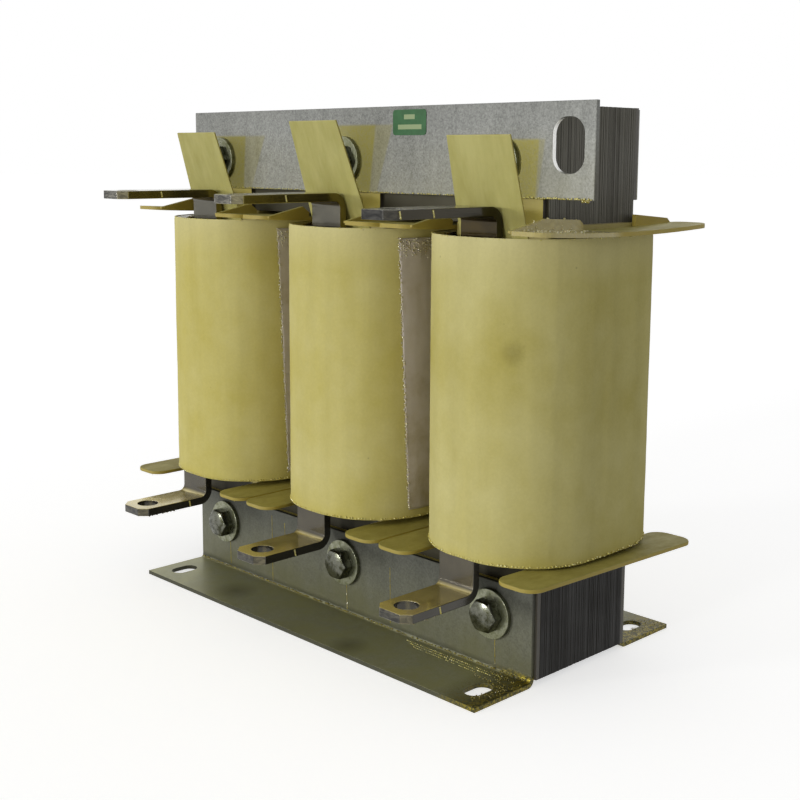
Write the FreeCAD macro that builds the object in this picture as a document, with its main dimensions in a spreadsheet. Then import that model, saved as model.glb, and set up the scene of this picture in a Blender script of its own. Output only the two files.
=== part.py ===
import FreeCAD, Part
import math
import os
import Sketcher
from FreeCAD import Placement, Rotation, Vector

# Three-phase iron-core reactor. Three legs with air gaps stand between a lower
# and an upper yoke; one coil sits on each leg. X runs along the core, Y from
# front to back with the terminals in front at -Y, Z is up. The origin is on the
# floor in the middle of the front foot, between its two slots.

doc = FreeCAD.newDocument("Reactor")
sheet = doc.addObject("Spreadsheet::Sheet", "Sizes")

SIZES = [
    # laminated core
    ("leg_width", "60"),
    ("window_width", "60"),
    ("window_height", "180"),
    ("stack_depth", "72"),
    ("yoke_height", "61"),
    ("yoke_bottom", "4"),
    ("gap_thickness", "2"),
    ("fit_gap", "0.3"),
    # clamping sheet metal
    ("sheet_thickness", "2.5"),
    ("liner_thickness", "2.5"),
    ("foot_inset", "1.5"),
    ("foot_reach", "44.3"),
    ("foot_height", "52.2"),
    ("bend_radius", "2"),
    ("foot_slot_inset", "16"),
    ("foot_slot_reach", "25.5"),
    ("foot_slot_width", "11"),
    ("foot_slot_length", "18"),
    ("plate_rise", "13.7"),
    ("plate_height", "48.5"),
    ("plate_overhang", "32"),
    ("rear_plate_inset", "1"),
    ("rear_plate_drop", "2"),
    ("lift_hole_reach", "15.4"),
    ("lift_hole_rise", "26.8"),
    ("lift_hole_width", "19.4"),
    ("lift_hole_height", "27.7"),
    ("lift_hole_corner", "8.5"),
    ("tongue_inset", "2"),
    # through bolts
    ("lower_bolt_rise", "30"),
    ("upper_bolt_rise", "32"),
    ("bolt_diameter", "10"),
    ("bolt_clearance", "1"),
    ("bolt_end", "2.6"),
    ("head_height", "6.4"),
    ("head_face", "15.8"),
    ("head_bevel", "30"),
    ("hex_across_flats", "16.6"),
    ("washer_diameter", "28"),
    ("washer_thickness", "2.5"),
    ("spring_diameter", "18"),
    ("spring_thickness", "2.4"),
    ("spring_split", "1.8"),
    ("spring_slant", "1.4"),
    ("nut_height", "8"),
    ("sleeve_wall", "0.9"),
    # coil, its reach measured from the leg and its ends from the yokes
    ("coil_lift", "5.2"),
    ("coil_drop", "5.5"),
    ("coil_side", "20"),
    ("coil_front", "30"),
    ("coil_back", "22"),
    ("coil_flat", "5"),
    ("wrap_thickness", "1.5"),
    ("winding_recess", "3"),
    ("former_wall", "2.5"),
    ("former_corner", "3"),
    # glass cloth between neighbouring coils
    ("cloth_reach_u", "13.3"),
    ("cloth_reach_v", "20"),
    ("cloth_slant", "6.5"),
    ("cloth_inset", "1"),
    ("cloth_thickness", "0.6"),
    ("cloth_margin", "5.5"),
    # end boards, their reach measured from the leg
    ("board_gap", "1.8"),
    ("board_front", "39"),
    ("board_back", "32"),
    ("board_thickness", "2.2"),
    ("board_corner", "9"),
    ("board_rise", "2"),
    ("upper_board_drop", "4.8"),
    ("loose_upper_lift", "1.5"),
    ("loose_upper_slide", "5"),
    ("loose_lower_lift", "0.9"),
    ("loose_lower_slide", "-4"),
    ("loose_lower_tilt", "1.6"),
    ("tab_clearance", "1.5"),
    ("loose_tab_front", "60.5"),
    ("loose_tab_back", "37"),
    ("tab_root", "1.3"),
    ("tab_shoulder", "5.4"),
    ("tab_round", "3"),
    ("tab_cheek", "7.6"),
    ("tab_height", "9"),
    ("tab_crest", "30"),
    ("tab_slope", "7"),
    ("tab_tail", "6.3"),
    ("tab_end", "4"),
    ("tab_low", "2.7"),
    ("tab_tip", "3.8"),
    # terminal bars, their reach measured from the leg and their tops from the yokes;
    # the front of a lower one lies inside the coil's front by its inset
    ("bar_width", "25"),
    ("bar_thickness", "5"),
    ("bar_bend", "4"),
    ("bar_chamfer", "5"),
    ("bar_hole", "13"),
    ("bar_hole_edge", "12.5"),
    ("bar_embed", "30"),
    ("upper_bar_back", "12.7"),
    ("upper_bar_shift", "2"),
    ("upper_bar_rise_u", "12.9"),
    ("upper_bar_rise_v", "13.7"),
    ("upper_bar_rise_w", "9.8"),
    ("upper_bar_reach_u", "87.5"),
    ("upper_bar_reach_v", "91.5"),
    ("upper_bar_reach_w", "92.5"),
    ("lower_bar_inset", "4.8"),
    ("lower_bar_shift", "8"),
    ("lower_bar_reach", "74.5"),
    ("lower_bar_drop_u", "9.2"),
    ("lower_bar_drop_v", "12.2"),
    ("lower_bar_drop_w", "14.3"),
    # insulating strips behind the upper bars
    ("strip_thickness", "1"),
    ("strip_foot_width_u", "48.6"),
    ("strip_foot_width_v", "49.9"),
    ("strip_foot_width_w", "47.3"),
    ("strip_head_width_u", "40.5"),
    ("strip_head_width_v", "41.1"),
    ("strip_head_width_w", "43.5"),
    ("strip_length_u", "59.7"),
    ("strip_length_v", "66.5"),
    ("strip_length_w", "55.5"),
    ("strip_lean_u", "17.8"),
    ("strip_lean_v", "20.2"),
    ("strip_lean_w", "14.2"),
    ("strip_shift_u", "1.1"),
    ("strip_shift_v", "0.1"),
    ("strip_shift_w", "1.6"),
    # inspection label, measured from the clamp plate
    ("label_x", "54.2"),
    ("label_rise", "39.5"),
    ("label_width", "26"),
    ("label_height", "14"),
    ("label_thickness", "0.3"),
    ("label_corner", "2"),
]

for row, (alias, value) in enumerate(SIZES, start=1):
    sheet.set("A%d" % row, alias.replace("_", " "))
    sheet.set("B%d" % row, value)
    sheet.setAlias("B%d" % row, alias)
doc.recompute()

PIECES = []
LEG_PITCH = "(Sizes.leg_width + Sizes.window_width)"
LEGS = {"u": "-" + LEG_PITCH, "v": "0", "w": LEG_PITCH}

# Heights and faces shared by many pieces. Depths count from the middle of the core.
YOKE_TOP = "(Sizes.yoke_bottom + Sizes.yoke_height)"
UPPER_YOKE = "(%s + Sizes.window_height)" % YOKE_TOP
STACK_FACE = "(Sizes.stack_depth / 2)"
LINER_FACE = "(%s + Sizes.liner_thickness)" % STACK_FACE
SHEET_FACE = "(%s + Sizes.sheet_thickness)" % LINER_FACE
WASHER_SEAT = "(%s + Sizes.washer_thickness)" % SHEET_FACE
SPRING_SEAT = "(%s + Sizes.spring_thickness)" % WASHER_SEAT
CORE_END = "(%s + Sizes.leg_width / 2)" % LEG_PITCH
SLOT_LINE = "(%s + Sizes.foot_slot_reach)" % SHEET_FACE
PLATE_BOTTOM = "(%s + Sizes.plate_rise)" % UPPER_YOKE
FOOT_LENGTH = "((%s - Sizes.foot_inset) * 2)" % CORE_END
FORMER_X = "(Sizes.leg_width / 2 + Sizes.fit_gap + Sizes.former_wall)"
FORMER_Y = "(%s + Sizes.fit_gap + Sizes.former_wall)" % STACK_FACE
LOWER_BOLT = "(Sizes.yoke_bottom + Sizes.lower_bolt_rise)"
UPPER_BOLT = "(%s + Sizes.upper_bolt_rise)" % UPPER_YOKE
BOLT_RADIUS = "(Sizes.bolt_diameter / 2)"
BOLT_HOLE = "((Sizes.bolt_diameter + Sizes.bolt_clearance) / 2)"
SLEEVE_BORE = "(%s + Sizes.fit_gap)" % BOLT_RADIUS
SLEEVE_RADIUS = "(%s + Sizes.sleeve_wall)" % SLEEVE_BORE
SLEEVE_HOLE = "(%s + Sizes.fit_gap)" % SLEEVE_RADIUS
HEX_RADIUS = "(Sizes.hex_across_flats / 2 / cos(30))"


def value(expression):
    """Number that an expression gives with the sizes of the sheet."""
    return float(sheet.evalExpression(expression))


def place(piece, x="0", y="0", z="0", axis=None, angle="0"):
    """Bind a piece's position, and its turn about one axis, to the sheet.

    y counts from the middle of the core, which lies behind the origin.
    """
    if axis is not None:
        piece.Placement = Placement(Vector(0, 0, 0), Rotation(axis, value(angle)))
        piece.setExpression("Placement.Rotation.Angle", angle)
    for name, expression in (("x", x), ("y", "%s + %s" % (y, SLOT_LINE)), ("z", z)):
        if expression != "0":
            piece.setExpression("Placement.Base." + name, expression)


def new_body(label, **where):
    """Empty body with its own label and placement."""
    body = doc.addObject("PartDesign::Body", label)
    body.Label = label
    place(body, **where)
    PIECES.append(body)
    return body


def new_sketch(body, name, plane, offset="0"):
    """Sketch on one of the body's origin planes, moved along its normal."""
    sketch = body.newObject("Sketcher::SketchObject", name)
    roles = {feature.Role: feature for feature in body.Origin.OriginFeatures}
    sketch.AttachmentSupport = [(roles[plane], "")]
    sketch.MapMode = "FlatFace"
    if offset != "0":
        sketch.setExpression("AttachmentOffset.Base.z", offset)
    return sketch


def bind(sketch, kind, arguments, expression):
    """Dimension with its value bound to an expression."""
    number = sketch.addConstraint(Sketcher.Constraint(kind, *arguments, value(expression)))
    sketch.setExpression("Constraints[%d]" % number, expression)


def fix_point(sketch, geometry, point, x, y):
    bind(sketch, "DistanceX", (-1, 1, geometry, point), x)
    bind(sketch, "DistanceY", (-1, 1, geometry, point), y)


def polygon(sketch, corners):
    """Closed loop of straight lines through fixed corners."""
    points = [Vector(value(x), value(y), 0) for x, y in corners]
    first = sketch.GeometryCount
    count = len(points)
    for index in range(count):
        sketch.addGeometry(Part.LineSegment(points[index], points[(index + 1) % count]), False)
    for index in range(count):
        following = first + (index + 1) % count
        sketch.addConstraint(Sketcher.Constraint("Coincident", first + index, 2, following, 1))
    for index, (x, y) in enumerate(corners):
        fix_point(sketch, first + index, 1, x, y)


def rectangle(sketch, left, bottom, right, top):
    polygon(sketch, [(left, bottom), (right, bottom), (right, top), (left, top)])


def circle(sketch, x, y, radius):
    center = Vector(value(x), value(y), 0)
    number = sketch.addGeometry(Part.Circle(center, Vector(0, 0, 1), value(radius)), False)
    fix_point(sketch, number, 3, x, y)
    bind(sketch, "Radius", (number,), radius)


def hexagon(sketch, x, y):
    """Hexagon with two flats upright, across the flats as the sheet says."""
    corners = []
    for turn in range(0, 360, 60):
        corners.append(
            ("%s + %s * cos(%d)" % (x, HEX_RADIUS, turn), "%s + %s * sin(%d)" % (y, HEX_RADIUS, turn))
        )
    polygon(sketch, corners)


def rounded(sketch, left, low, right, high, low_radius, high_radius):
    """Rectangle with tangent corner arcs, one radius low and one high."""
    x0, x1 = value(left), value(right)
    y0, y1 = value(low), value(high)
    r0, r1 = value(low_radius), value(high_radius)
    up = Vector(0, 0, 1)
    quarter = math.pi / 2
    first = sketch.GeometryCount
    shapes = [
        Part.LineSegment(Vector(x0 + r0, y0, 0), Vector(x1 - r0, y0, 0)),
        Part.ArcOfCircle(Part.Circle(Vector(x1 - r0, y0 + r0, 0), up, r0), -quarter, 0),
        Part.LineSegment(Vector(x1, y0 + r0, 0), Vector(x1, y1 - r1, 0)),
        Part.ArcOfCircle(Part.Circle(Vector(x1 - r1, y1 - r1, 0), up, r1), 0, quarter),
        Part.LineSegment(Vector(x1 - r1, y1, 0), Vector(x0 + r1, y1, 0)),
        Part.ArcOfCircle(Part.Circle(Vector(x0 + r1, y1 - r1, 0), up, r1), quarter, 2 * quarter),
        Part.LineSegment(Vector(x0, y1 - r1, 0), Vector(x0, y0 + r0, 0)),
        Part.ArcOfCircle(Part.Circle(Vector(x0 + r0, y0 + r0, 0), up, r0), 2 * quarter, 3 * quarter),
    ]
    for shape in shapes:
        sketch.addGeometry(shape, False)
    for index in range(8):
        following = first + (index + 1) % 8
        sketch.addConstraint(Sketcher.Constraint("Tangent", first + index, 2, following, 1))
    for index in (0, 4):
        sketch.addConstraint(Sketcher.Constraint("Horizontal", first + index))
    for index in (2, 6):
        sketch.addConstraint(Sketcher.Constraint("Vertical", first + index))
    bind(sketch, "DistanceY", (-1, 1, first, 1), low)
    bind(sketch, "DistanceX", (-1, 1, first + 2, 1), right)
    bind(sketch, "DistanceY", (-1, 1, first + 4, 1), high)
    bind(sketch, "DistanceX", (-1, 1, first + 6, 1), left)
    for index, radius in ((1, low_radius), (3, high_radius), (5, high_radius), (7, low_radius)):
        bind(sketch, "Radius", (first + index,), radius)


def slot(sketch, x, y, width, length):
    """Slot with round ends, long along the sketch's second axis."""
    cx, cy = value(x), value(y)
    radius = value(width) / 2
    half = value(length) / 2 - radius
    up = Vector(0, 0, 1)
    first = sketch.GeometryCount
    left, right, low, high = cx - radius, cx + radius, cy - half, cy + half
    shapes = [
        Part.LineSegment(Vector(right, low, 0), Vector(right, high, 0)),
        Part.ArcOfCircle(Part.Circle(Vector(cx, high, 0), up, radius), 0, math.pi),
        Part.LineSegment(Vector(left, high, 0), Vector(left, low, 0)),
        Part.ArcOfCircle(Part.Circle(Vector(cx, low, 0), up, radius), math.pi, 2 * math.pi),
    ]
    for shape in shapes:
        sketch.addGeometry(shape, False)
    for index in range(4):
        following = first + (index + 1) % 4
        sketch.addConstraint(Sketcher.Constraint("Tangent", first + index, 2, following, 1))
    sketch.addConstraint(Sketcher.Constraint("Vertical", first))
    reach = "(%s / 2 - %s / 2)" % (length, width)
    fix_point(sketch, first + 1, 3, x, "%s + %s" % (y, reach))
    bind(sketch, "DistanceY", (-1, 1, first + 3, 3), "%s - %s" % (y, reach))
    bind(sketch, "Radius", (first + 1,), "%s / 2" % width)


def pad(body, sketch, length, symmetric=False, backwards=False):
    feature = body.newObject("PartDesign::Pad", sketch.Name + "_pad")
    feature.Profile = sketch
    feature.setExpression("Length", length)
    feature.SideType = "Symmetric" if symmetric else "One side"
    feature.Reversed = backwards
    return feature


def cut_through(body, sketch):
    """Pocket through everything on both sides of its sketch."""
    feature = body.newObject("PartDesign::Pocket", sketch.Name + "_cut")
    feature.Profile = sketch
    feature.Type = "ThroughAll"
    feature.SideType = "Symmetric"
    return feature


def cut_length(body, sketch, length, backwards=False):
    feature = body.newObject("PartDesign::Pocket", sketch.Name + "_cut")
    feature.Profile = sketch
    feature.setExpression("Length", length)
    feature.Reversed = backwards
    return feature


def edge_names(shape, wanted):
    """Names of the edges whose middle and direction pass a test."""
    names = []
    for number, edge in enumerate(shape.Edges, start=1):
        start, end = edge.Vertexes[0].Point, edge.Vertexes[-1].Point
        if wanted(start, end):
            names.append("Edge%d" % number)
    return names


def box(name, width, depth, height, x, y, z):
    """Box centred on x and y with its bottom at z."""
    block = doc.addObject("Part::Box", name)
    block.setExpression("Length", width)
    block.setExpression("Width", depth)
    block.setExpression("Height", height)
    place(block, "%s - (%s) / 2" % (x, width), "%s - (%s) / 2" % (y, depth), z)
    return block


def compound(label, links):
    group = doc.addObject("Part::Compound", label)
    group.Label = label
    group.Links = links
    PIECES.append(group)
    return group


def yoke(label, bottom, bolt_z):
    body = new_body(label, z=bottom)
    face = new_sketch(body, label + "_face", "XZ_Plane")
    rectangle(face, "-" + CORE_END, "0", CORE_END, "Sizes.yoke_height")
    for x in LEGS.values():
        circle(face, x, "%s - %s" % (bolt_z, bottom), SLEEVE_HOLE)
    pad(body, face, "Sizes.stack_depth", symmetric=True)


def clamp_sheet(label, y, left, right, bottom, height, thickness, bolt_z, bolt_radius):
    """Flat upright sheet with three bolt holes."""
    body = new_body(label, y=y, z=bottom)
    face = new_sketch(body, label + "_face", "XZ_Plane")
    rectangle(face, left, "0", right, height)
    for x in LEGS.values():
        circle(face, x, "%s - %s" % (bolt_z, bottom), bolt_radius)
    pad(body, face, thickness)
    return body


def bent_profile(sketch, arm, post, thickness, bend):
    """Flat bar bent square: arm along -x on the floor, post up from the bend."""
    a, p, t, r = value(arm), value(post), value(thickness), value(bend)
    up = Vector(0, 0, 1)
    quarter = math.pi / 2
    center = Vector(-r, r + t, 0)
    shapes = [
        Part.LineSegment(Vector(-a, 0, 0), Vector(-r, 0, 0)),
        Part.ArcOfCircle(Part.Circle(center, up, r + t), -quarter, 0),
        Part.LineSegment(Vector(t, r + t, 0), Vector(t, p, 0)),
        Part.LineSegment(Vector(t, p, 0), Vector(0, p, 0)),
        Part.LineSegment(Vector(0, p, 0), Vector(0, r + t, 0)),
        Part.ArcOfCircle(Part.Circle(center, up, r), -quarter, 0),
        Part.LineSegment(Vector(-r, t, 0), Vector(-a, t, 0)),
        Part.LineSegment(Vector(-a, t, 0), Vector(-a, 0, 0)),
    ]
    for shape in shapes:
        sketch.addGeometry(shape, False)
    for pair in ((0, 2, 1, 1), (1, 2, 2, 1), (4, 2, 5, 2), (5, 1, 6, 1)):
        sketch.addConstraint(Sketcher.Constraint("Tangent", *pair))
    for pair in ((2, 2, 3, 1), (3, 2, 4, 1), (6, 2, 7, 1), (7, 2, 0, 1), (1, 3, 5, 3)):
        sketch.addConstraint(Sketcher.Constraint("Coincident", *pair))
    for line in (0, 3, 6):
        sketch.addConstraint(Sketcher.Constraint("Horizontal", line))
    for line in (2, 4, 7):
        sketch.addConstraint(Sketcher.Constraint("Vertical", line))
    fix_point(sketch, 0, 1, "-(%s)" % arm, "0")
    fix_point(sketch, 3, 1, thickness, post)
    bind(sketch, "DistanceX", (-1, 1, 4, 1), "0")
    bind(sketch, "Radius", (5,), bend)


def foot_bracket(label, y, turn):
    """Folded foot: post against the liner, foot on the floor with slots."""
    body = new_body(label, y=y, axis=Vector(0, 0, 1), angle=turn)
    side = new_sketch(body, label + "_side", "YZ_Plane")
    bent_profile(side, "Sizes.foot_reach", "Sizes.foot_height", "Sizes.sheet_thickness", "Sizes.bend_radius")
    pad(body, side, FOOT_LENGTH, symmetric=True)
    plan = new_sketch(body, label + "_slots", "XY_Plane")
    for end in ("-", ""):
        center = "%s(%s - Sizes.foot_slot_inset)" % (end, CORE_END)
        slot(plan, center, "-Sizes.foot_slot_reach", "Sizes.foot_slot_width", "Sizes.foot_slot_length")
    cut_through(body, plan)
    face = new_sketch(body, label + "_bolt_holes", "XZ_Plane")
    for x in LEGS.values():
        circle(face, x, LOWER_BOLT, BOLT_HOLE)
    cut_through(body, face)


def terminal(label, x, y, z, arm, post, upside_down):
    """Bent flat bar with cut corners and a bolt hole near its free end."""
    turn = "180" if upside_down else "0"
    body = new_body(label, x=x, y=y, z=z, axis=Vector(0, 1, 0), angle=turn)
    side = new_sketch(body, label + "_side", "YZ_Plane")
    bent_profile(side, arm, post, "Sizes.bar_thickness", "Sizes.bar_bend")
    bar = pad(body, side, "Sizes.bar_width", symmetric=True)
    doc.recompute()
    reach = value(arm)
    corners = edge_names(
        bar.Shape,
        lambda start, end: max(abs(start.y + reach), abs(end.y + reach)) < 0.01 and abs(start.z - end.z) > 1,
    )
    chamfer = body.newObject("PartDesign::Chamfer", label + "_corners")
    chamfer.Base = (bar, corners)
    chamfer.setExpression("Size", "Sizes.bar_chamfer")
    plan = new_sketch(body, label + "_hole", "XY_Plane")
    circle(plan, "0", "-(%s) + Sizes.bar_hole_edge" % arm, "Sizes.bar_hole / 2")
    cut_through(body, plan)


def hex_bolts(label, z):
    """Three through bolts, head in front, chamfered hexagon."""
    bolts = []
    length = "(%s + %s + Sizes.nut_height + Sizes.bolt_end)" % (WASHER_SEAT, SPRING_SEAT)
    for leg, x in LEGS.items():
        name = "%s_%s" % (label, leg)
        hexagon_block = doc.addObject("Part::Prism", name + "_hexagon")
        hexagon_block.Polygon = 6
        hexagon_block.setExpression("Circumradius", HEX_RADIUS)
        hexagon_block.setExpression("Height", "Sizes.head_height")
        rounding = doc.addObject("Part::Cone", name + "_rounding")
        rounding.setExpression("Radius1", "Sizes.head_face / 2 + Sizes.head_height / tan(Sizes.head_bevel)")
        rounding.setExpression("Radius2", "Sizes.head_face / 2")
        rounding.setExpression("Height", "Sizes.head_height")
        head = doc.addObject("Part::Common", name + "_head")
        head.Base = hexagon_block
        head.Tool = rounding
        shank = doc.addObject("Part::Cylinder", name + "_shank")
        shank.setExpression("Radius", BOLT_RADIUS)
        shank.setExpression("Height", length)
        shank.setExpression("Placement.Base.z", "-" + length)
        bolt = doc.addObject("Part::Fuse", name)
        bolt.Base = head
        bolt.Tool = shank
        place(bolt, x=x, y="-" + WASHER_SEAT, z=z, axis=Vector(1, 0, 0), angle="90")
        bolts.append(bolt)
    compound(label, bolts)


def ring_group(label, layers):
    """Rings on all bolt lines; a layer is offset, length, outer, inner, backwards."""
    body = new_body(label)
    for number, (offset, length, outer, inner, backwards) in enumerate(layers):
        face = new_sketch(body, "%s_face_%d" % (label, number), "XZ_Plane", offset)
        for z in (LOWER_BOLT, UPPER_BOLT):
            for x in LEGS.values():
                circle(face, x, z, outer)
                circle(face, x, z, inner)
        pad(body, face, length, backwards=backwards)
    return body


# Laminated core: two yokes, and two blocks on each leg with three air gaps.
yoke("lower_yoke", "Sizes.yoke_bottom", LOWER_BOLT)
yoke("upper_yoke", UPPER_YOKE, UPPER_BOLT)

BLOCK = "((Sizes.window_height - 3 * Sizes.gap_thickness) / 2)"
GAP_LEVELS = [
    YOKE_TOP,
    "(%s + Sizes.gap_thickness + %s)" % (YOKE_TOP, BLOCK),
    "(%s - Sizes.gap_thickness)" % UPPER_YOKE,
]
for leg, x in LEGS.items():
    lower_block = box(
        "leg_lower_" + leg, "Sizes.leg_width", "Sizes.stack_depth", BLOCK, x, "0",
        YOKE_TOP + " + Sizes.gap_thickness"
    )
    upper_block = box(
        "leg_upper_" + leg, "Sizes.leg_width", "Sizes.stack_depth", BLOCK, x, "0",
        GAP_LEVELS[1] + " + Sizes.gap_thickness"
    )
    for block in (lower_block, upper_block):
        block.Label = block.Name
        PIECES.append(block)
    spacers = []
    for number, level in enumerate(GAP_LEVELS):
        name = "gap_%s_%d" % (leg, number)
        spacer = box(name, "Sizes.leg_width", "Sizes.stack_depth", "Sizes.gap_thickness", x, "0", level)
        spacers.append(spacer)
    compound("gap_spacers_" + leg, spacers)

# Pressboard liners between the core and the sheet metal. The front upper one
# has a tongue reaching down behind the leads of each coil.
LOWER_LINER = "(Sizes.foot_height - Sizes.yoke_bottom)"
REAR_BOTTOM = "(%s - Sizes.rear_plate_drop)" % PLATE_BOTTOM
for side, y, sheet_bottom in (("front", "-" + STACK_FACE, PLATE_BOTTOM), ("rear", LINER_FACE, REAR_BOTTOM)):
    clamp_sheet(
        side + "_lower_liner", y, "-" + CORE_END, CORE_END, "Sizes.yoke_bottom", LOWER_LINER,
        "Sizes.liner_thickness", LOWER_BOLT, SLEEVE_HOLE
    )
    liner = clamp_sheet(
        side + "_upper_liner", y, "-" + CORE_END, CORE_END, sheet_bottom,
        "(%s + Sizes.yoke_height - %s)" % (UPPER_YOKE, sheet_bottom),
        "Sizes.liner_thickness", UPPER_BOLT, SLEEVE_HOLE
    )
    if side == "front":
        tongues = new_sketch(liner, "front_upper_liner_tongues", "XZ_Plane")
        half = "(Sizes.leg_width / 2 - Sizes.tongue_inset)"
        for x in LEGS.values():
            rectangle(
                tongues, "%s - %s" % (x, half), "Sizes.fit_gap - Sizes.plate_rise", "%s + %s" % (x, half), "0"
            )
        pad(liner, tongues, "Sizes.liner_thickness")

# Folded foot brackets and the upper clamp plates. The front plate runs on past
# the core to the right and has the lifting hole there.
foot_bracket("front_foot_bracket", "-" + SHEET_FACE, "0")
foot_bracket("rear_foot_bracket", SHEET_FACE, "180")
plate = clamp_sheet(
    "front_clamp_plate", "-" + LINER_FACE, "-%s / 2" % FOOT_LENGTH, CORE_END + " + Sizes.plate_overhang",
    PLATE_BOTTOM, "Sizes.plate_height", "Sizes.sheet_thickness", UPPER_BOLT, BOLT_HOLE
)
lifting = new_sketch(plate, "front_clamp_plate_lifting", "XZ_Plane")
lifting_x = "%s + Sizes.lift_hole_reach" % CORE_END
rounded(
    lifting, lifting_x + " - Sizes.lift_hole_width / 2", "Sizes.lift_hole_rise - Sizes.lift_hole_height / 2",
    lifting_x + " + Sizes.lift_hole_width / 2", "Sizes.lift_hole_rise + Sizes.lift_hole_height / 2",
    "Sizes.lift_hole_corner", "Sizes.lift_hole_corner"
)
cut_through(plate, lifting)
REAR_END = "(%s - Sizes.rear_plate_inset)" % CORE_END
clamp_sheet(
    "rear_clamp_plate", SHEET_FACE, "-" + REAR_END, REAR_END, REAR_BOTTOM, "Sizes.plate_height",
    "Sizes.sheet_thickness", UPPER_BOLT, BOLT_HOLE
)

# Through bolts with washers in front and washer, spring washer and nut behind.
hex_bolts("lower_bolts", LOWER_BOLT)
hex_bolts("upper_bolts", UPPER_BOLT)
ring_group("flat_washers", [
    (SHEET_FACE, "Sizes.washer_thickness", "Sizes.washer_diameter / 2", BOLT_HOLE, False),
    ("-" + SHEET_FACE, "Sizes.washer_thickness", "Sizes.washer_diameter / 2", BOLT_HOLE, True),
])
springs = ring_group("spring_washers", [
    ("-" + WASHER_SEAT, "Sizes.spring_thickness", "Sizes.spring_diameter / 2", BOLT_HOLE, True),
])
split = new_sketch(springs, "spring_washers_split", "XZ_Plane")
for z in (LOWER_BOLT, UPPER_BOLT):
    for x in LEGS.values():
        polygon(split, [
            ("%s - Sizes.spring_slant / 2 - Sizes.spring_split / 2" % x, z),
            ("%s - Sizes.spring_slant / 2 + Sizes.spring_split / 2" % x, z),
            ("%s + Sizes.spring_slant / 2 + Sizes.spring_split / 2" % x, z + " + Sizes.spring_diameter"),
            ("%s + Sizes.spring_slant / 2 - Sizes.spring_split / 2" % x, z + " + Sizes.spring_diameter"),
        ])
cut_through(springs, split)
ring_group("bolt_sleeves", [("-" + LINER_FACE, LINER_FACE + " * 2", SLEEVE_RADIUS, SLEEVE_BORE, False)])
nuts = new_body("hex_nuts")
nut_face = new_sketch(nuts, "hex_nuts_face", "XZ_Plane", "-" + SPRING_SEAT)
for z in (LOWER_BOLT, UPPER_BOLT):
    for x in LEGS.values():
        hexagon(nut_face, x, z)
        circle(nut_face, x, z, SLEEVE_BORE)
pad(nuts, nut_face, "Sizes.nut_height", backwards=True)

# One coil on each leg: former, winding, outer wrap, two terminal bars, four end
# boards and one insulating strip, with glass cloth between neighbouring coils. Two
# boards outside the core sit a little out of line, held only by the varnish.
COIL_BOTTOM = "(%s + Sizes.coil_lift)" % YOKE_TOP
COIL_HEIGHT = "(Sizes.window_height - Sizes.coil_lift - Sizes.coil_drop)"
COIL_SIDE = "(Sizes.leg_width / 2 + Sizes.coil_side)"
COIL_FRONT = "(%s + Sizes.coil_front)" % STACK_FACE
COIL_BACK = "(%s + Sizes.coil_back)" % STACK_FACE
COIL_CORNER = "(%s - Sizes.coil_flat)" % COIL_SIDE
WINDING_BOTTOM = "(%s + Sizes.winding_recess)" % COIL_BOTTOM
WINDING_TOP = "(%s + %s - Sizes.winding_recess)" % (COIL_BOTTOM, COIL_HEIGHT)
UPPER_BAR = "(%s + Sizes.upper_bar_back)" % STACK_FACE
LOWER_BAR = "(%s - Sizes.lower_bar_inset - Sizes.bar_thickness)" % COIL_FRONT
BOARD_FRONT = "(%s + Sizes.board_front)" % STACK_FACE
BOARD_BACK = "(%s + Sizes.board_back)" % STACK_FACE
BOARD_WIDTH = "((Sizes.window_width - Sizes.board_gap) / 2 - Sizes.former_wall - 2 * Sizes.fit_gap)"


def coil_loop(sketch, inset):
    """Outline of the coil seen from above, moved inwards by an amount."""
    rounded(
        sketch, "-(%s - (%s))" % (COIL_SIDE, inset), "-(%s - (%s))" % (COIL_FRONT, inset),
        "%s - (%s)" % (COIL_SIDE, inset), "%s - (%s)" % (COIL_BACK, inset),
        "%s - (%s)" % (COIL_CORNER, inset), "%s - (%s)" % (COIL_CORNER, inset)
    )


def former_loop(sketch, grow):
    rounded(
        sketch, "-(%s + (%s))" % (FORMER_X, grow), "-(%s + (%s))" % (FORMER_Y, grow),
        "%s + (%s)" % (FORMER_X, grow), "%s + (%s)" % (FORMER_Y, grow),
        "Sizes.former_corner + (%s)" % grow, "Sizes.former_corner + (%s)" % grow
    )


def coil_former(leg, x):
    body = new_body("coil_former_" + leg, x=x, z=YOKE_TOP + " + Sizes.fit_gap")
    plan = new_sketch(body, "coil_former_%s_plan" % leg, "XY_Plane")
    former_loop(plan, "0")
    former_loop(plan, "-Sizes.former_wall")
    pad(body, plan, "Sizes.window_height - 2 * Sizes.fit_gap")


def winding(leg, x):
    body = new_body("winding_" + leg, x=x, z=WINDING_BOTTOM)
    plan = new_sketch(body, "winding_%s_plan" % leg, "XY_Plane")
    coil_loop(plan, "Sizes.wrap_thickness + Sizes.fit_gap")
    former_loop(plan, "Sizes.fit_gap")
    height = "%s - %s" % (WINDING_TOP, WINDING_BOTTOM)
    pad(body, plan, height)
    half = "(Sizes.bar_width / 2 + Sizes.fit_gap)"
    for name, level, back, shift, backwards in (
        ("upper", height, UPPER_BAR, "Sizes.upper_bar_shift", False),
        ("lower", "0", LOWER_BAR, "Sizes.lower_bar_shift", True),
    ):
        seat = new_sketch(body, "winding_%s_%s_seat" % (leg, name), "XY_Plane", level)
        rectangle(
            seat, "-%s - %s" % (shift, half), "-%s - Sizes.bar_thickness - Sizes.fit_gap" % back,
            "-%s + %s" % (shift, half), "-%s + Sizes.fit_gap" % back
        )
        cut_length(body, seat, "Sizes.bar_embed + Sizes.fit_gap", backwards)


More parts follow.
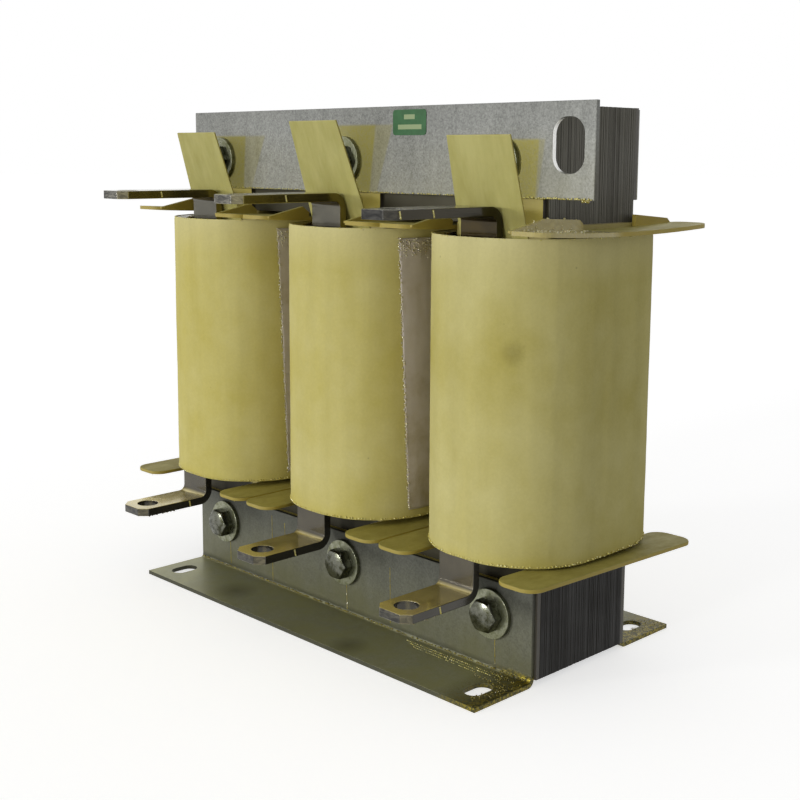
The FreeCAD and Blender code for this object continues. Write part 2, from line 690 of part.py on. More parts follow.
def outer_wrap(leg, x):
    body = new_body("outer_wrap_" + leg, x=x, z=COIL_BOTTOM)
    plan = new_sketch(body, "outer_wrap_%s_plan" % leg, "XY_Plane")
    coil_loop(plan, "0")
    coil_loop(plan, "Sizes.wrap_thickness")
    pad(body, plan, COIL_HEIGHT)


def glass_cloth(leg, x):
    """Cloth laid on the flank that faces the next coil, with a slanting front edge."""
    body = new_body("glass_cloth_" + leg, x=x, z=COIL_BOTTOM + " + Sizes.cloth_margin")
    height = "(%s - 2 * Sizes.cloth_margin)" % COIL_HEIGHT
    plan = new_sketch(body, "glass_cloth_%s_plan" % leg, "XY_Plane")
    center_y = "(%s - %s)" % (COIL_CORNER, COIL_FRONT)
    front = "(%s - Sizes.cloth_reach_%s)" % (center_y, leg)
    back = "(%s - %s - Sizes.cloth_inset)" % (COIL_BACK, COIL_CORNER)
    inner = "(%s + Sizes.fit_gap)" % COIL_CORNER
    outer = "(%s + Sizes.cloth_thickness)" % inner
    cx, cy = value("Sizes.coil_flat"), value(center_y)
    low, high = value(front), value(back)
    middle, up = Vector(cx, cy, 0), Vector(0, 0, 1)
    ends = []
    for radius in (value(outer), value(inner)):
        angle = math.asin((low - cy) / radius)
        ends.append((cx + radius * math.cos(angle), cx + radius, Part.Circle(middle, up, radius), angle))
    (outer_low, outer_x, outer_circle, outer_angle), (inner_low, inner_x, inner_circle, inner_angle) = ends
    shapes = [
        Part.ArcOfCircle(outer_circle, outer_angle, 0),
        Part.LineSegment(Vector(outer_x, cy, 0), Vector(outer_x, high, 0)),
        Part.LineSegment(Vector(outer_x, high, 0), Vector(inner_x, high, 0)),
        Part.LineSegment(Vector(inner_x, high, 0), Vector(inner_x, cy, 0)),
        Part.ArcOfCircle(inner_circle, inner_angle, 0),
        Part.LineSegment(Vector(inner_low, low, 0), Vector(outer_low, low, 0)),
    ]
    for shape in shapes:
        plan.addGeometry(shape, False)
    plan.addConstraint(Sketcher.Constraint("Tangent", 0, 2, 1, 1))
    plan.addConstraint(Sketcher.Constraint("Tangent", 3, 2, 4, 2))
    for pair in ((1, 2, 2, 1), (2, 2, 3, 1), (4, 1, 5, 1), (5, 2, 0, 1), (0, 3, 4, 3)):
        plan.addConstraint(Sketcher.Constraint("Coincident", *pair))
    plan.addConstraint(Sketcher.Constraint("Vertical", 1))
    for line in (2, 5):
        plan.addConstraint(Sketcher.Constraint("Horizontal", line))
    fix_point(plan, 0, 3, "Sizes.coil_flat", center_y)
    bind(plan, "Radius", (0,), outer)
    bind(plan, "Radius", (4,), inner)
    bind(plan, "DistanceY", (-1, 1, 2, 1), back)
    bind(plan, "DistanceY", (-1, 1, 5, 1), front)
    pad(body, plan, height)
    slant = new_sketch(body, "glass_cloth_%s_slant" % leg, "YZ_Plane")
    polygon(slant, [
        ("%s - Sizes.cloth_slant" % front, "0"),
        ("%s + Sizes.cloth_slant" % front, "0"),
        ("%s - Sizes.cloth_slant" % front, "%s * 2" % height),
    ])
    cut_through(body, slant)


def dished_profile(sketch, front, back, rise, thickness):
    """Thin board seen from the side: two concentric arcs, low in the middle."""
    half = "((%s + %s) / 2)" % (front, back)
    radius = "((%s * %s + %s * %s) / (2 * %s))" % (half, half, rise, rise, rise)
    middle = "((%s - %s) / 2)" % (back, front)
    reach, big = value(half), value(radius)
    center = Vector(value(middle), big, 0)
    up = Vector(0, 0, 1)
    low = -math.pi / 2
    for r in (big, big - value(thickness)):
        spread = math.asin(reach / r)
        sketch.addGeometry(Part.ArcOfCircle(Part.Circle(center, up, r), low - spread, low + spread), False)
    bottom, top = sketch.Geometry[0], sketch.Geometry[1]
    sketch.addGeometry(Part.LineSegment(bottom.EndPoint, top.EndPoint), False)
    sketch.addGeometry(Part.LineSegment(top.StartPoint, bottom.StartPoint), False)
    for pair in ((0, 2, 2, 1), (2, 2, 1, 2), (1, 1, 3, 1), (3, 2, 0, 1), (0, 3, 1, 3)):
        sketch.addConstraint(Sketcher.Constraint("Coincident", *pair))
    for line in (2, 3):
        sketch.addConstraint(Sketcher.Constraint("Vertical", line))
    fix_point(sketch, 0, 3, middle, radius)
    bind(sketch, "Radius", (0,), radius)
    bind(sketch, "Radius", (1,), "%s - %s" % (radius, thickness))
    bind(sketch, "DistanceX", (-1, 1, 0, 1), "-" + front)
    bind(sketch, "DistanceX", (-1, 1, 0, 2), back)


def end_board(label, x, side, tabs, **where):
    """Board beside the former, round at its corners.

    A lower board is flat. An upper one is dished, and its inner edge is folded
    up into a front and a back tab, which start where the tabs values say.
    """
    sign = "+" if side > 0 else "-"
    body = new_body(label, x="%s %s (%s + Sizes.fit_gap)" % (x, sign, FORMER_X), **where)
    profile = new_sketch(body, label + "_profile", "YZ_Plane")
    if tabs is None:
        rectangle(profile, "-" + BOARD_FRONT, "0", BOARD_BACK, "Sizes.board_thickness")
    else:
        dished_profile(profile, BOARD_FRONT, BOARD_BACK, "Sizes.board_rise", "Sizes.board_thickness")
    board = pad(body, profile, BOARD_WIDTH, backwards=side < 0)
    doc.recompute()
    corners = edge_names(
        board.Shape, lambda start, end: abs(start.x - end.x) < 0.01 and abs(start.y - end.y) < 0.01
    )
    rounding = body.newObject("PartDesign::Fillet", label + "_corners")
    rounding.Base = (board, corners)
    rounding.setExpression("Radius", "Sizes.board_corner")
    if tabs is None:
        return
    front_start, back_start = tabs
    front_end = "-(%s - Sizes.tab_end)" % BOARD_FRONT
    back_end = "(%s - Sizes.tab_end)" % BOARD_BACK
    outlines = {
        "front": [
            (front_end, "Sizes.tab_low"),
            ("-" + front_start, "Sizes.tab_root"),
            ("-" + front_start, "Sizes.tab_shoulder"),
            ("-(%s + Sizes.tab_round)" % front_start, "Sizes.tab_cheek"),
            ("-(%s - Sizes.tab_crest)" % BOARD_FRONT, "Sizes.tab_height"),
            (front_end, "Sizes.tab_tip"),
        ],
        "back": [
            (back_end, "Sizes.tab_low"),
            (back_start, "Sizes.tab_root"),
            (back_start, "Sizes.tab_height"),
            ("%s - Sizes.tab_slope" % BOARD_BACK, "Sizes.tab_tail"),
            (back_end, "Sizes.tab_tip"),
        ],
    }
    for name, outline in outlines.items():
        tab = new_sketch(body, "%s_%s_tab" % (label, name), "YZ_Plane")
        polygon(tab, outline)
        pad(body, tab, "Sizes.board_thickness", backwards=side < 0)


def insulating_strip(leg, x):
    """Flat board standing on the winding and leaning on the bend of the upper bar."""
    lean = "Sizes.strip_lean_" + leg
    foot = "(%s + Sizes.fit_gap + Sizes.strip_thickness * sin(%s))" % (WINDING_TOP, lean)
    bend = "(Sizes.bar_bend + Sizes.bar_thickness)"
    fall = "(%s + Sizes.upper_bar_rise_%s - %s - %s)" % (UPPER_YOKE, leg, bend, foot)
    slack = "(%s + Sizes.fit_gap + Sizes.strip_thickness + %s * sin(%s)) / cos(%s)" % (bend, fall, lean, lean)
    body = new_body(
        "insulating_strip_" + leg, x="%s + Sizes.strip_shift_%s" % (x, leg),
        y="-(%s + %s) + %s" % (UPPER_BAR, bend, slack), z=foot, axis=Vector(1, 0, 0), angle=lean
    )
    face = new_sketch(body, "insulating_strip_%s_face" % leg, "XZ_Plane")
    length = "Sizes.strip_length_" + leg
    polygon(face, [
        ("-Sizes.strip_foot_width_%s / 2" % leg, "0"),
        ("Sizes.strip_foot_width_%s / 2" % leg, "0"),
        ("Sizes.strip_head_width_%s / 2" % leg, length),
        ("-Sizes.strip_head_width_%s / 2" % leg, length),
    ])
    pad(body, face, "Sizes.strip_thickness")


for leg, x in LEGS.items():
    coil_former(leg, x)
    winding(leg, x)
    outer_wrap(leg, x)
    if leg != "w":
        glass_cloth(leg, x)
    upper_top = "(%s + Sizes.upper_bar_rise_%s)" % (UPPER_YOKE, leg)
    lower_top = "(%s - Sizes.lower_bar_drop_%s)" % (YOKE_TOP, leg)
    terminal(
        "upper_terminal_" + leg, "%s - Sizes.upper_bar_shift" % x, "-(%s + Sizes.bar_thickness)" % UPPER_BAR,
        upper_top, "Sizes.upper_bar_reach_%s - Sizes.upper_bar_back - Sizes.bar_thickness" % leg,
        "%s - %s + Sizes.bar_embed" % (upper_top, WINDING_TOP), True
    )
    terminal(
        "lower_terminal_" + leg, "%s - Sizes.lower_bar_shift" % x, "-(%s + Sizes.bar_thickness)" % LOWER_BAR,
        lower_top + " - Sizes.bar_thickness",
        "%s + Sizes.lower_bar_reach - %s - Sizes.bar_thickness" % (STACK_FACE, LOWER_BAR),
        "%s - %s + Sizes.bar_thickness + Sizes.bar_embed" % (WINDING_BOTTOM, lower_top), False
    )
    for name, side in (("left", -1), ("right", 1)):
        start = "(%s + Sizes.tab_clearance)" % LINER_FACE
        tabs = (start, start)
        if (leg, side) in (("u", -1), ("w", 1)):
            tabs = (
                "(%s - Sizes.loose_tab_front)" % BOARD_FRONT, "(%s - Sizes.loose_tab_back)" % BOARD_BACK
            )
        upper = {"z": "%s - Sizes.upper_board_drop" % UPPER_YOKE}
        lower = {"z": YOKE_TOP}
        if (leg, side) == ("u", -1):
            upper = {"z": upper["z"] + " + Sizes.loose_upper_lift", "y": "Sizes.loose_upper_slide"}
        if (leg, side) == ("w", 1):
            lower = {
                "z": YOKE_TOP + " + Sizes.loose_lower_lift", "y": "Sizes.loose_lower_slide",
                "axis": Vector(-1, 0, 0), "angle": "Sizes.loose_lower_tilt"
            }
        end_board("lower_board_%s_%s" % (name, leg), x, side, None, **lower)
        end_board("upper_board_%s_%s" % (name, leg), x, side, tabs, **upper)
    insulating_strip(leg, x)

label = new_body(
    "inspection_label", x="Sizes.label_x", y="-" + SHEET_FACE, z=PLATE_BOTTOM + " + Sizes.label_rise"
)
label_face = new_sketch(label, "inspection_label_face", "XZ_Plane")
rounded(
    label_face, "-Sizes.label_width / 2", "-Sizes.label_height / 2", "Sizes.label_width / 2",
    "Sizes.label_height / 2", "Sizes.label_corner", "Sizes.label_corner"
)
pad(label, label_face, "Sizes.label_thickness")

doc.recompute()

# Nothing is written unless every object is sound.
failed = [item.Name for item in doc.Objects if "Invalid" in item.State or "Error" in item.State]
if failed:
    raise RuntimeError("objects failed: " + ", ".join(failed))
for piece in PIECES:
    if piece.Shape.isNull() or not piece.Shape.isValid() or not piece.Shape.Solids:
        raise RuntimeError("bad shape: " + piece.Label)

os.makedirs("parts", exist_ok=True)
for piece in PIECES:
    piece.Shape.exportStep("parts/%s.step" % piece.Label)
print("%d pieces written" % len(PIECES))
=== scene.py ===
# %% [markdown]
# # A three-phase reactor, dressed cell by cell
#
# The object is an iron-core reactor: three foil-wound coils on a laminated core,
# clamped between galvanised plates and dipped in yellow varnish. Its construction
# comes finished from the CAD model. This file gives it what CAD leaves out: worn
# edges, paper, woven cloth, zinc, and the varnish that ran down and set in beads.

import math

import bmesh
import bpy
from mathutils.bvhtree import BVHTree
from mathutils import Matrix, Vector, noise


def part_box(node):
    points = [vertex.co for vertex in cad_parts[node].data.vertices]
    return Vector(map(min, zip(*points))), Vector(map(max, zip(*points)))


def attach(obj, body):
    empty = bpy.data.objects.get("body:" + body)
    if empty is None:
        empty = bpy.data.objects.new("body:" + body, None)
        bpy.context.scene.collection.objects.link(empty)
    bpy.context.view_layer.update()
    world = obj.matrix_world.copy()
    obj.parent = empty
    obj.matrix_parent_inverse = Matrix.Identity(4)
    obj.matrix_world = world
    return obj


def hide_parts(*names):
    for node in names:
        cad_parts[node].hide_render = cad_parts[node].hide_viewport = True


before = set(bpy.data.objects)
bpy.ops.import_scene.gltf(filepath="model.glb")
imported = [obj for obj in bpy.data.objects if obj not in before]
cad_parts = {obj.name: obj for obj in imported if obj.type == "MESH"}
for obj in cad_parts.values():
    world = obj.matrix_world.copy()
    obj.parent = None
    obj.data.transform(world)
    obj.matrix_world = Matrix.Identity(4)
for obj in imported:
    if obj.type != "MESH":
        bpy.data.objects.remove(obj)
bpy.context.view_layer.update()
MM = 0.001

# %% [markdown]
# ## Camera
# The lens and place were fitted to about sixty points of the photo. The camera
# stands in front of the right end, nearly as high as the object, and looks back
# along the row of coils. The shift lowers the window, as the crop did.

# %% Camera
CAMERA_PLACE = (557.6, -470.6, 280.3)
TURN, FALL, ROLL = 45.8, 8.1, 0.3
PHOTO_SIDE, FOCAL_PIXELS, CROP_PIXELS = 800, 1264.4, -65


def placed(name, data):
    """A new object in the scene."""
    piece = bpy.data.objects.new(name, data)
    bpy.context.scene.collection.objects.link(piece)
    return piece


camera_data = bpy.data.cameras.new("studio_camera")
camera = placed("studio_camera", camera_data)
camera_data.sensor_width = 36
camera_data.lens = camera_data.sensor_width * FOCAL_PIXELS / PHOTO_SIDE
camera_data.shift_y = CROP_PIXELS / PHOTO_SIDE
camera.matrix_world = (
    Matrix.Translation(Vector(CAMERA_PLACE) * MM)
    @ Matrix.Rotation(math.radians(TURN), 4, "Z")
    @ Matrix.Rotation(math.radians(90 - FALL), 4, "X")
    @ Matrix.Rotation(math.radians(ROLL), 4, "Z")
)
bpy.context.scene.camera = camera
bpy.context.scene.view_settings.view_transform = "Standard"
print("lens", round(camera_data.lens, 2), "mm")

# %% [markdown]
# ## Helpers for materials
# Colours are written as the hex values seen on a screen, and the renderer wants
# linear light, so one function turns them. Another adds a node together with its
# settings and what feeds it, which keeps each material readable from top to bottom.

# %% Colour and node helpers
NOISE, CELLS, MAPPING = "ShaderNodeTexNoise", "ShaderNodeTexVoronoi", "ShaderNodeMapping"
RANGE, RAMP, MIX = "ShaderNodeMapRange", "ShaderNodeValToRGB", "ShaderNodeMix"
MATH, VECTORS, AXES = "ShaderNodeMath", "ShaderNodeVectorMath", "ShaderNodeSeparateXYZ"


def linear(code):
    """A hex colour as seen on the screen, turned to linear light."""
    parts = [int(code[i:i + 2], 16) / 255 for i in (1, 3, 5)]
    return tuple(c / 12.92 if c < 0.04045 else ((c + 0.055) / 1.055) ** 2.4 for c in parts) + (1.0,)


def feed(tree, node, feeds):
    """Each input gets a value, a hex colour, an output, or a node, whose first live output is meant."""
    for key, value in feeds.items():
        if isinstance(value, bpy.types.Node):
            value = next(socket for socket in value.outputs if socket.enabled)
        if isinstance(value, bpy.types.NodeSocket):
            tree.links.new(value, node.inputs[key])
        else:
            is_colour = isinstance(value, str) and value.startswith("#")
            node.inputs[key].default_value = linear(value) if is_colour else value


def add(tree, kind, feeds=None, **settings):
    """One node with its settings and what feeds its inputs."""
    node = tree.nodes.new(kind)
    for key, value in settings.items():
        setattr(node, key, value)
    feed(tree, node, feeds or {})
    return node


def start_finish(name, **constants):
    """A new material, its tree, its shader with constant values, and the object's coordinates."""
    finish = bpy.data.materials.new(name)
    finish.use_nodes = True
    tree = finish.node_tree
    shader = tree.nodes["Principled BSDF"]
    feed(tree, shader, {key.replace("_", " "): value for key, value in constants.items()})
    return finish, tree, shader, add(tree, "ShaderNodeTexCoord").outputs["Object"]


def end_finish(tree, shader, colour, rough, relief, depth, strength):
    """What varies over the surface: its colour, its roughness, and relief as deep as depth in millimetres."""
    bump = add(tree, "ShaderNodeBump", {"Height": relief, "Distance": depth * MM, "Strength": strength})
    feed(tree, shader, {"Base Color": colour, "Roughness": rough, "Normal": bump})


def stops(ramp_node, *pairs):
    """Sets the colours along a Color Ramp as (position, hex) pairs and gives the node."""
    ramp = ramp_node.color_ramp
    while len(ramp.elements) < len(pairs):
        ramp.elements.new(0.5)
    for element, (position, code) in zip(ramp.elements, pairs):
        element.position = position
        element.color = linear(code)
    return ramp_node


print("a pale varnish yellow in linear light:", [round(v, 3) for v in linear("#BEB574")])

# %% [markdown]
# ## Steps that every finish takes
# Dirt, wear and soaked edges all work the same way: something runs along a level,
# such as height or a noise, and by that share a colour is laid over, or the tone
# goes up or down. These steps are written once.

# %% Steps that finishes share
def along(tree, *shares):
    """The product of shares. One is ready, or runs along a level: (level, begin, end, first, last).

    A level that is a place or a distance is in metres, as Blender has it.
    """
    product = None
    for share in shares:
        if isinstance(share, tuple):
            share = add(tree, RANGE, dict(enumerate(share)))
        product = share if product is None else add(tree, MATH, {0: product, 1: share}, operation="MULTIPLY")
    return product


def laid(tree, under, over, *shares):
    """One colour laid over another by the product of shares."""
    return add(tree, MIX, {0: along(tree, *shares), 6: under, 7: over}, data_type="RGBA")


def toned(tree, colour, *shares):
    """A colour made darker or lighter by the product of shares."""
    return add(tree, VECTORS, {0: colour, "Scale": along(tree, *shares)}, operation="SCALE")


def plus(tree, base, *parts):
    """A value with parts added to it, each as (part, share)."""
    for part, share in parts:
        base = add(tree, MATH, {0: part, 1: share, 2: base}, operation="MULTIPLY_ADD")
    return base


def drawn_out(tree, place, scales, detail, **look):
    """Noise that repeats a different number of times to the metre along each axis."""
    stretched = add(tree, MAPPING, {"Vector": place, "Scale": scales})
    return add(tree, NOISE, {"Vector": stretched, "Scale": 1.0, "Detail": detail, **look})


def outward(tree):
    """The axes of the direction that a surface faces."""
    normal = add(tree, "ShaderNodeNewGeometry").outputs["Normal"]
    return add(tree, AXES, {0: normal}).outputs


def reach(tree, place, spot):
    """How far a place is from a spot in millimetres."""
    return add(tree, VECTORS, {0: place, 1: Vector(spot) * MM}, operation="DISTANCE")


FAR = 1000.0
print("a mark that a finish doesn't have is put", FAR, "mm away")

# %% [markdown]
# ## Wrap paper
# The outer wrap is aramid paper, pressed smooth on rollers and then soaked in
# varnish. To the eye it is a pale, dry yellow, cloudy where it drank more, streaked
# downwards where the varnish drained, with a fine felt of fibres and a soft sheen.
# Clouds are noise about 67 mm wide, streaks are noise stretched upright, and the
# felt, too fine to show at 0.1 mm, is drawn at 1.5 mm. On the right coil the end of
# the paper lies over itself on the flank, and past that wandering seam the tone
# drops a little.

# %% Wrap paper
PAPER_CLOUDS, PAPER_STREAKS, PAPER_FELT = 15.0, (110.0, 110.0, 7.0), 650.0
PAPER_SPECKS, PAPER_RIPPLES, PAPER_WRINKLES = 62.0, 22.0, 90.0


def wrap_paper(name, dry, soaked, seam_x=FAR, smudge=(0.0, 0.0, FAR)):
    finish, tree, shader, place = start_finish(name, IOR=1.5, Specular_IOR_Level=0.07)
    axes = add(tree, AXES, {0: place}).outputs
    clouds = add(tree, NOISE, {"Vector": place, "Scale": PAPER_CLOUDS, "Detail": 6.0, "Roughness": 0.6})
    streaks = drawn_out(tree, place, PAPER_STREAKS, 4.0)
    felt = add(tree, NOISE, {"Vector": place, "Scale": PAPER_FELT, "Detail": 4.0, "Roughness": 0.7})
    specks = add(tree, CELLS, {"Vector": place, "Scale": PAPER_SPECKS})
    colour = stops(add(tree, RAMP, {0: clouds}), (0.32, dry), (0.7, soaked))
    colour = laid(tree, colour, "#BFB14C", (axes["Z"], 0.070, 0.078, 0.3, 0.0))
    colour = laid(tree, colour, "#D8D09C", (plus(tree, axes["Z"], (clouds, 0.02)), 0.226, 0.250, 0.0, 0.6))
    ripples = add(tree, NOISE, {"Vector": place, "Scale": PAPER_RIPPLES, "Detail": 2.0})
    wander = plus(tree, axes["X"], (ripples, 0.006))
    stirring = {0: felt.outputs["Color"], 1: (0.006,) * 3, 2: place}
    stirred = add(tree, VECTORS, stirring, operation="MULTIPLY_ADD")
    colour = toned(
        tree, colour, (streaks, 0.3, 0.7, 0.955, 1.035), (felt, 0.3, 0.7, 0.96, 1.035),
        (specks, 0.02, 0.045, 0.75, 1.0), (wander, seam_x * MM, (seam_x + 1.5) * MM, 1.0, 0.98),
        (reach(tree, stirred, smudge), 0.003, 0.009, 0.72, 1.0)
    )
    wrinkles = add(tree, NOISE, {"Vector": place, "Scale": PAPER_WRINKLES, "Detail": 7.0, "Roughness": 0.65})
    end_finish(tree, shader, colour, along(tree, (clouds, 0.3, 0.7, 0.74, 0.9)), wrinkles, 0.6, 0.3)
    return finish


papers = {
    "u": wrap_paper("aramid_paper_u", "#CBC281", "#BBAE58", smudge=(-58.5, 13.5, 231.5)),
    "v": wrap_paper("aramid_paper_v", "#CAC183", "#BAAE5B"),
    "w": wrap_paper("aramid_paper_w", "#C6BE82", "#B1A65C", seam_x=166.5, smudge=(153.1, 6.0, 185.0)),
}
print("papers:", sorted(papers))

# %% [markdown]
# ## End boards and strips
# The stepped boards at the coil ends are pressboard sheared from a sheet, dipped in
# varnish until they turned olive and half clear. Their faces are satin, and the cut
# edges drank the most and show golden. The leaning strips are the same board, thin
# and only lightly varnished, so they stay pale and let a little light through. The
# end of the right coil's board is still wet-looking: a smooth coat over small beads.

# %% Pressboard
BOARD_CLOUDS, BOARD_RIPPLES, BOARD_BEADS = (90.0, 45.0, 22.0), 150.0, 420.0


def pressboard(name, face, soaked, edge, gloss, clear, flat_axis="Z", darkened_ends=0.0, wet=False):
    finish, tree, shader, place = start_finish(
        name, IOR=1.52, Coat_Weight=gloss, Coat_Roughness=0.25, Subsurface_Weight=clear,
        Subsurface_Scale=0.002, Subsurface_Radius=(1.0, 0.8, 0.35)
    )
    axes, facing = add(tree, AXES, {0: place}).outputs, outward(tree)
    clouds = drawn_out(tree, place, BOARD_CLOUDS, 7.0, Roughness=0.65)
    flat = add(tree, MATH, {0: facing[flat_axis]}, operation="ABSOLUTE")
    sideways = add(tree, MATH, {0: facing["X"]}, operation="ABSOLUTE")
    from_middle = add(tree, MATH, {0: axes["X"]}, operation="ABSOLUTE")
    colour = stops(add(tree, RAMP, {0: clouds}), (0.35, face), (0.68, soaked))
    colour = laid(tree, colour, edge, (flat, 0.25, 0.6, 0.85, 0.0))
    # Faces that look along x, and everything more than 148 mm from the middle, are turned near black by the
    # given share.
    at_end = along(tree, (sideways, 0.8, 0.98, 0.0, darkened_ends))
    past_plate = along(tree, (from_middle, 0.1478, 0.1484, 0.0, darkened_ends))
    colour = laid(tree, colour, "#3A352A", add(tree, MATH, {0: at_end, 1: past_plate}, operation="MAXIMUM"))
    relief = add(tree, NOISE, {"Vector": place, "Scale": BOARD_RIPPLES, "Detail": 3.0})
    if wet:
        film = along(tree, (axes["X"], 0.1525, 0.1545, 0.0, 1.0), (axes["Y"], 0.045, 0.055, 1.0, 0.0))
        beads = add(tree, CELLS, {"Vector": place, "Scale": BOARD_BEADS}, feature="SMOOTH_F1")
        relief = plus(tree, relief, (along(tree, beads, film), -3.0))
        colour = laid(tree, colour, "#B3AA6C", film, 0.3)
        feed(tree, shader, {"Coat Weight": film, "Coat Roughness": 0.05})
    end_finish(tree, shader, colour, along(tree, (clouds, 0.3, 0.7, 0.48, 0.7)), relief, 0.6, 0.35)
    return finish


DIPPED = ("#A0964A", "#857B30", "#A08D36", 0.0, 0.15)
end_board = pressboard("dipped_pressboard", *DIPPED)
wet_board = pressboard("dipped_pressboard_wet", *DIPPED, wet=True)
liner_board = pressboard("liner_pressboard", "#B3A757", "#9A8D40", "#A5973F", 0.3, 0.1, darkened_ends=1.0)
strip_board = pressboard("pale_pressboard", "#B4AE68", "#A19A52", "#9C8F3C", 0.05, 0.2, flat_axis="Y")
gap_board = pressboard("gap_pressboard", "#8F8455", "#7D7347", "#8A7F50", 0.2, 0.0)
former_board = pressboard("former_pressboard", "#A09455", "#8A7F48", "#9A8E4E", 0.2, 0.0)
print("boards:", end_board.name, liner_board.name, strip_board.name)

# %% [markdown]
# ## Galvanised sheet
# The clamp plates and feet are hot-dipped galvanised steel. Zinc freezes into
# spangle, flat crystals that each catch the light at their own slant, under a fine
# grey grain. Cells of Voronoi noise 2.4 mm wide, bent by wider noise, give the
# crystals. Where the part stood in varnish the zinc turned yellow-green, more
# towards the bottom, so one mask for that film is shared by colour, roughness and
# coat. The front plate and the feet have marks of their own on top of that. The
# front plate's marks include painted yellow shadows of the leaning strips, which
# join the varnish mask, and a painted highlight. The feet's marks include painted
# shade and light.

# %% Marks of the front plate
SLANT_TOP, SLANT_LOW = 295.0, 260.0
# Left edge and top of each strip's painted shadow, then x of its right edges at the slant's top and foot.
PAINTED_SHADOW_FIELDS = (
    (-136.0, 291.8, ((-94.1, -96.6), (-72.9, -87.8))),
    (-16.0, 297.2, ((26.4, 21.9), (40.1, 28.3))),
    (104.0, 288.6, ((147.1, 145.1), (151.5, 146.7))),
)
DULL_PATCH = (62.0, 25.5, 285.0)


def painted_strip_shadows(tree, axes):
    """Painted yellow shadow of each leaning strip: two fields, one from each lamp, whose right edges slant.
    """
    total = None
    for left, top, right_edges in PAINTED_SHADOW_FIELDS:
        begins = (axes["X"], left * MM, (left + 1) * MM, 0.0, 1.0)
        behind = along(tree, begins, (axes["Z"], (top - 0.7) * MM, (top + 0.7) * MM, 0.45, 0.0))
        for x_top, x_low in right_edges:
            slope = (x_top - x_low) / (SLANT_TOP - SLANT_LOW)
            edge = plus(tree, (x_low - slope * SLANT_LOW) * MM, (axes["Z"], slope))
            room = add(tree, MATH, {0: edge, 1: axes["X"]}, operation="SUBTRACT")
            field = along(tree, (room, -0.8 * MM, 0.8 * MM, 0.0, 1.0), behind)
            total = field if total is None else add(tree, MATH, {0: total, 1: field}, operation="ADD")
    return total


def plate_marks(tree, place, axes, colour):
    """A darker top, a dull patch, a painted highlight on faces that look right, for the hole's rim, and the
    sheared end, darker towards the bottom.
    """
    dull = reach(tree, place, DULL_PATCH)
    colour = toned(tree, colour, (axes["Z"], 0.288, 0.306, 1.0, 0.84), (dull, 0.01, 0.055, 0.84, 1.0))
    # Faces that look right, short of the plate's end, are painted near white: a painted highlight for the
    # hole's rim.
    rim = (outward(tree)["X"], 0.3, 0.6, 0.0, 1.0)
    colour = laid(tree, colour, "#FBFBF8", rim, (axes["X"], 0.179, 0.180, 1.0, 0.0))
    # The sheared end is turned dark, more so towards the bottom.
    sheared_end = (axes["X"], 0.1812, 0.1818, 0.0, 1.0)
    return laid(tree, colour, "#3A382B", sheared_end, (axes["Z"], 0.264, 0.300, 0.85, 0.15))


# Each field of film is a painted shadow of a strip.
print("fields of film:", sum(len(edges) for left, top, edges in PAINTED_SHADOW_FIELDS))

# %% Marks of the feet
SMUDGES = (((-76.0, -1.0, 2.0), 16.0), ((42.0, -10.0, 2.0), 14.0))
FOOT_BUBBLES = 520.0


def foot_marks(tree, place, axes, colour):
    """Painted shade towards the bracket's top, two smudges, painted light and shade on the foot, and gold
    pools on the foot. Gives the colour and the gold.
    """
    # Painted shade: the bracket turns darker towards its top, under the coils.
    colour = toned(tree, colour, (axes["Z"], 0.026, 0.056, 1.0, 0.62))
    for spot, size in SMUDGES:
        colour = toned(tree, colour, (reach(tree, place, spot), 0.0, size * MM, 0.55, 1.0))
    on_foot = along(tree, (axes["Z"], 0.004, 0.007, 1.0, 0.0))
    # Painted light and shade on the foot: faces that look up are lighter and others darker, the right end is
    # lighter and the rear foot darker.
    painted_light_share = along(
        tree, (outward(tree)["Z"], 0.3, 0.8, 0.45, 2.9), (axes["X"], 0.0, 0.12, 1.0, 1.25),
        (axes["Y"], 0.100, 0.104, 1.0, 0.35)
    )
    colour = toned(tree, colour, add(tree, MIX, {0: on_foot, 2: 1.0, 3: painted_light_share}))
    bubbles = add(tree, NOISE, {"Vector": place, "Scale": FOOT_BUBBLES, "Detail": 3.0, "Distortion": 1.2})
    pool = along(tree, (axes["X"], 0.118, 0.146, 0.0, 1.0), on_foot)
    gold = along(tree, pool, (bubbles, 0.46, 0.56, 0.0, 1.0))
    return laid(tree, laid(tree, colour, "#45421F", pool), "#877922", gold), gold


print("smudges on the foot:", len(SMUDGES))

# %% Galvanised sheet
SPANGLE, SPANGLE_BEND, ZINC_GRAIN, ZINC_CLOUDS = 420.0, 120.0, 1000.0, 14.0
DRAINED_STREAKS, FILM_POOLS = (160.0, 160.0, 9.0), 30.0


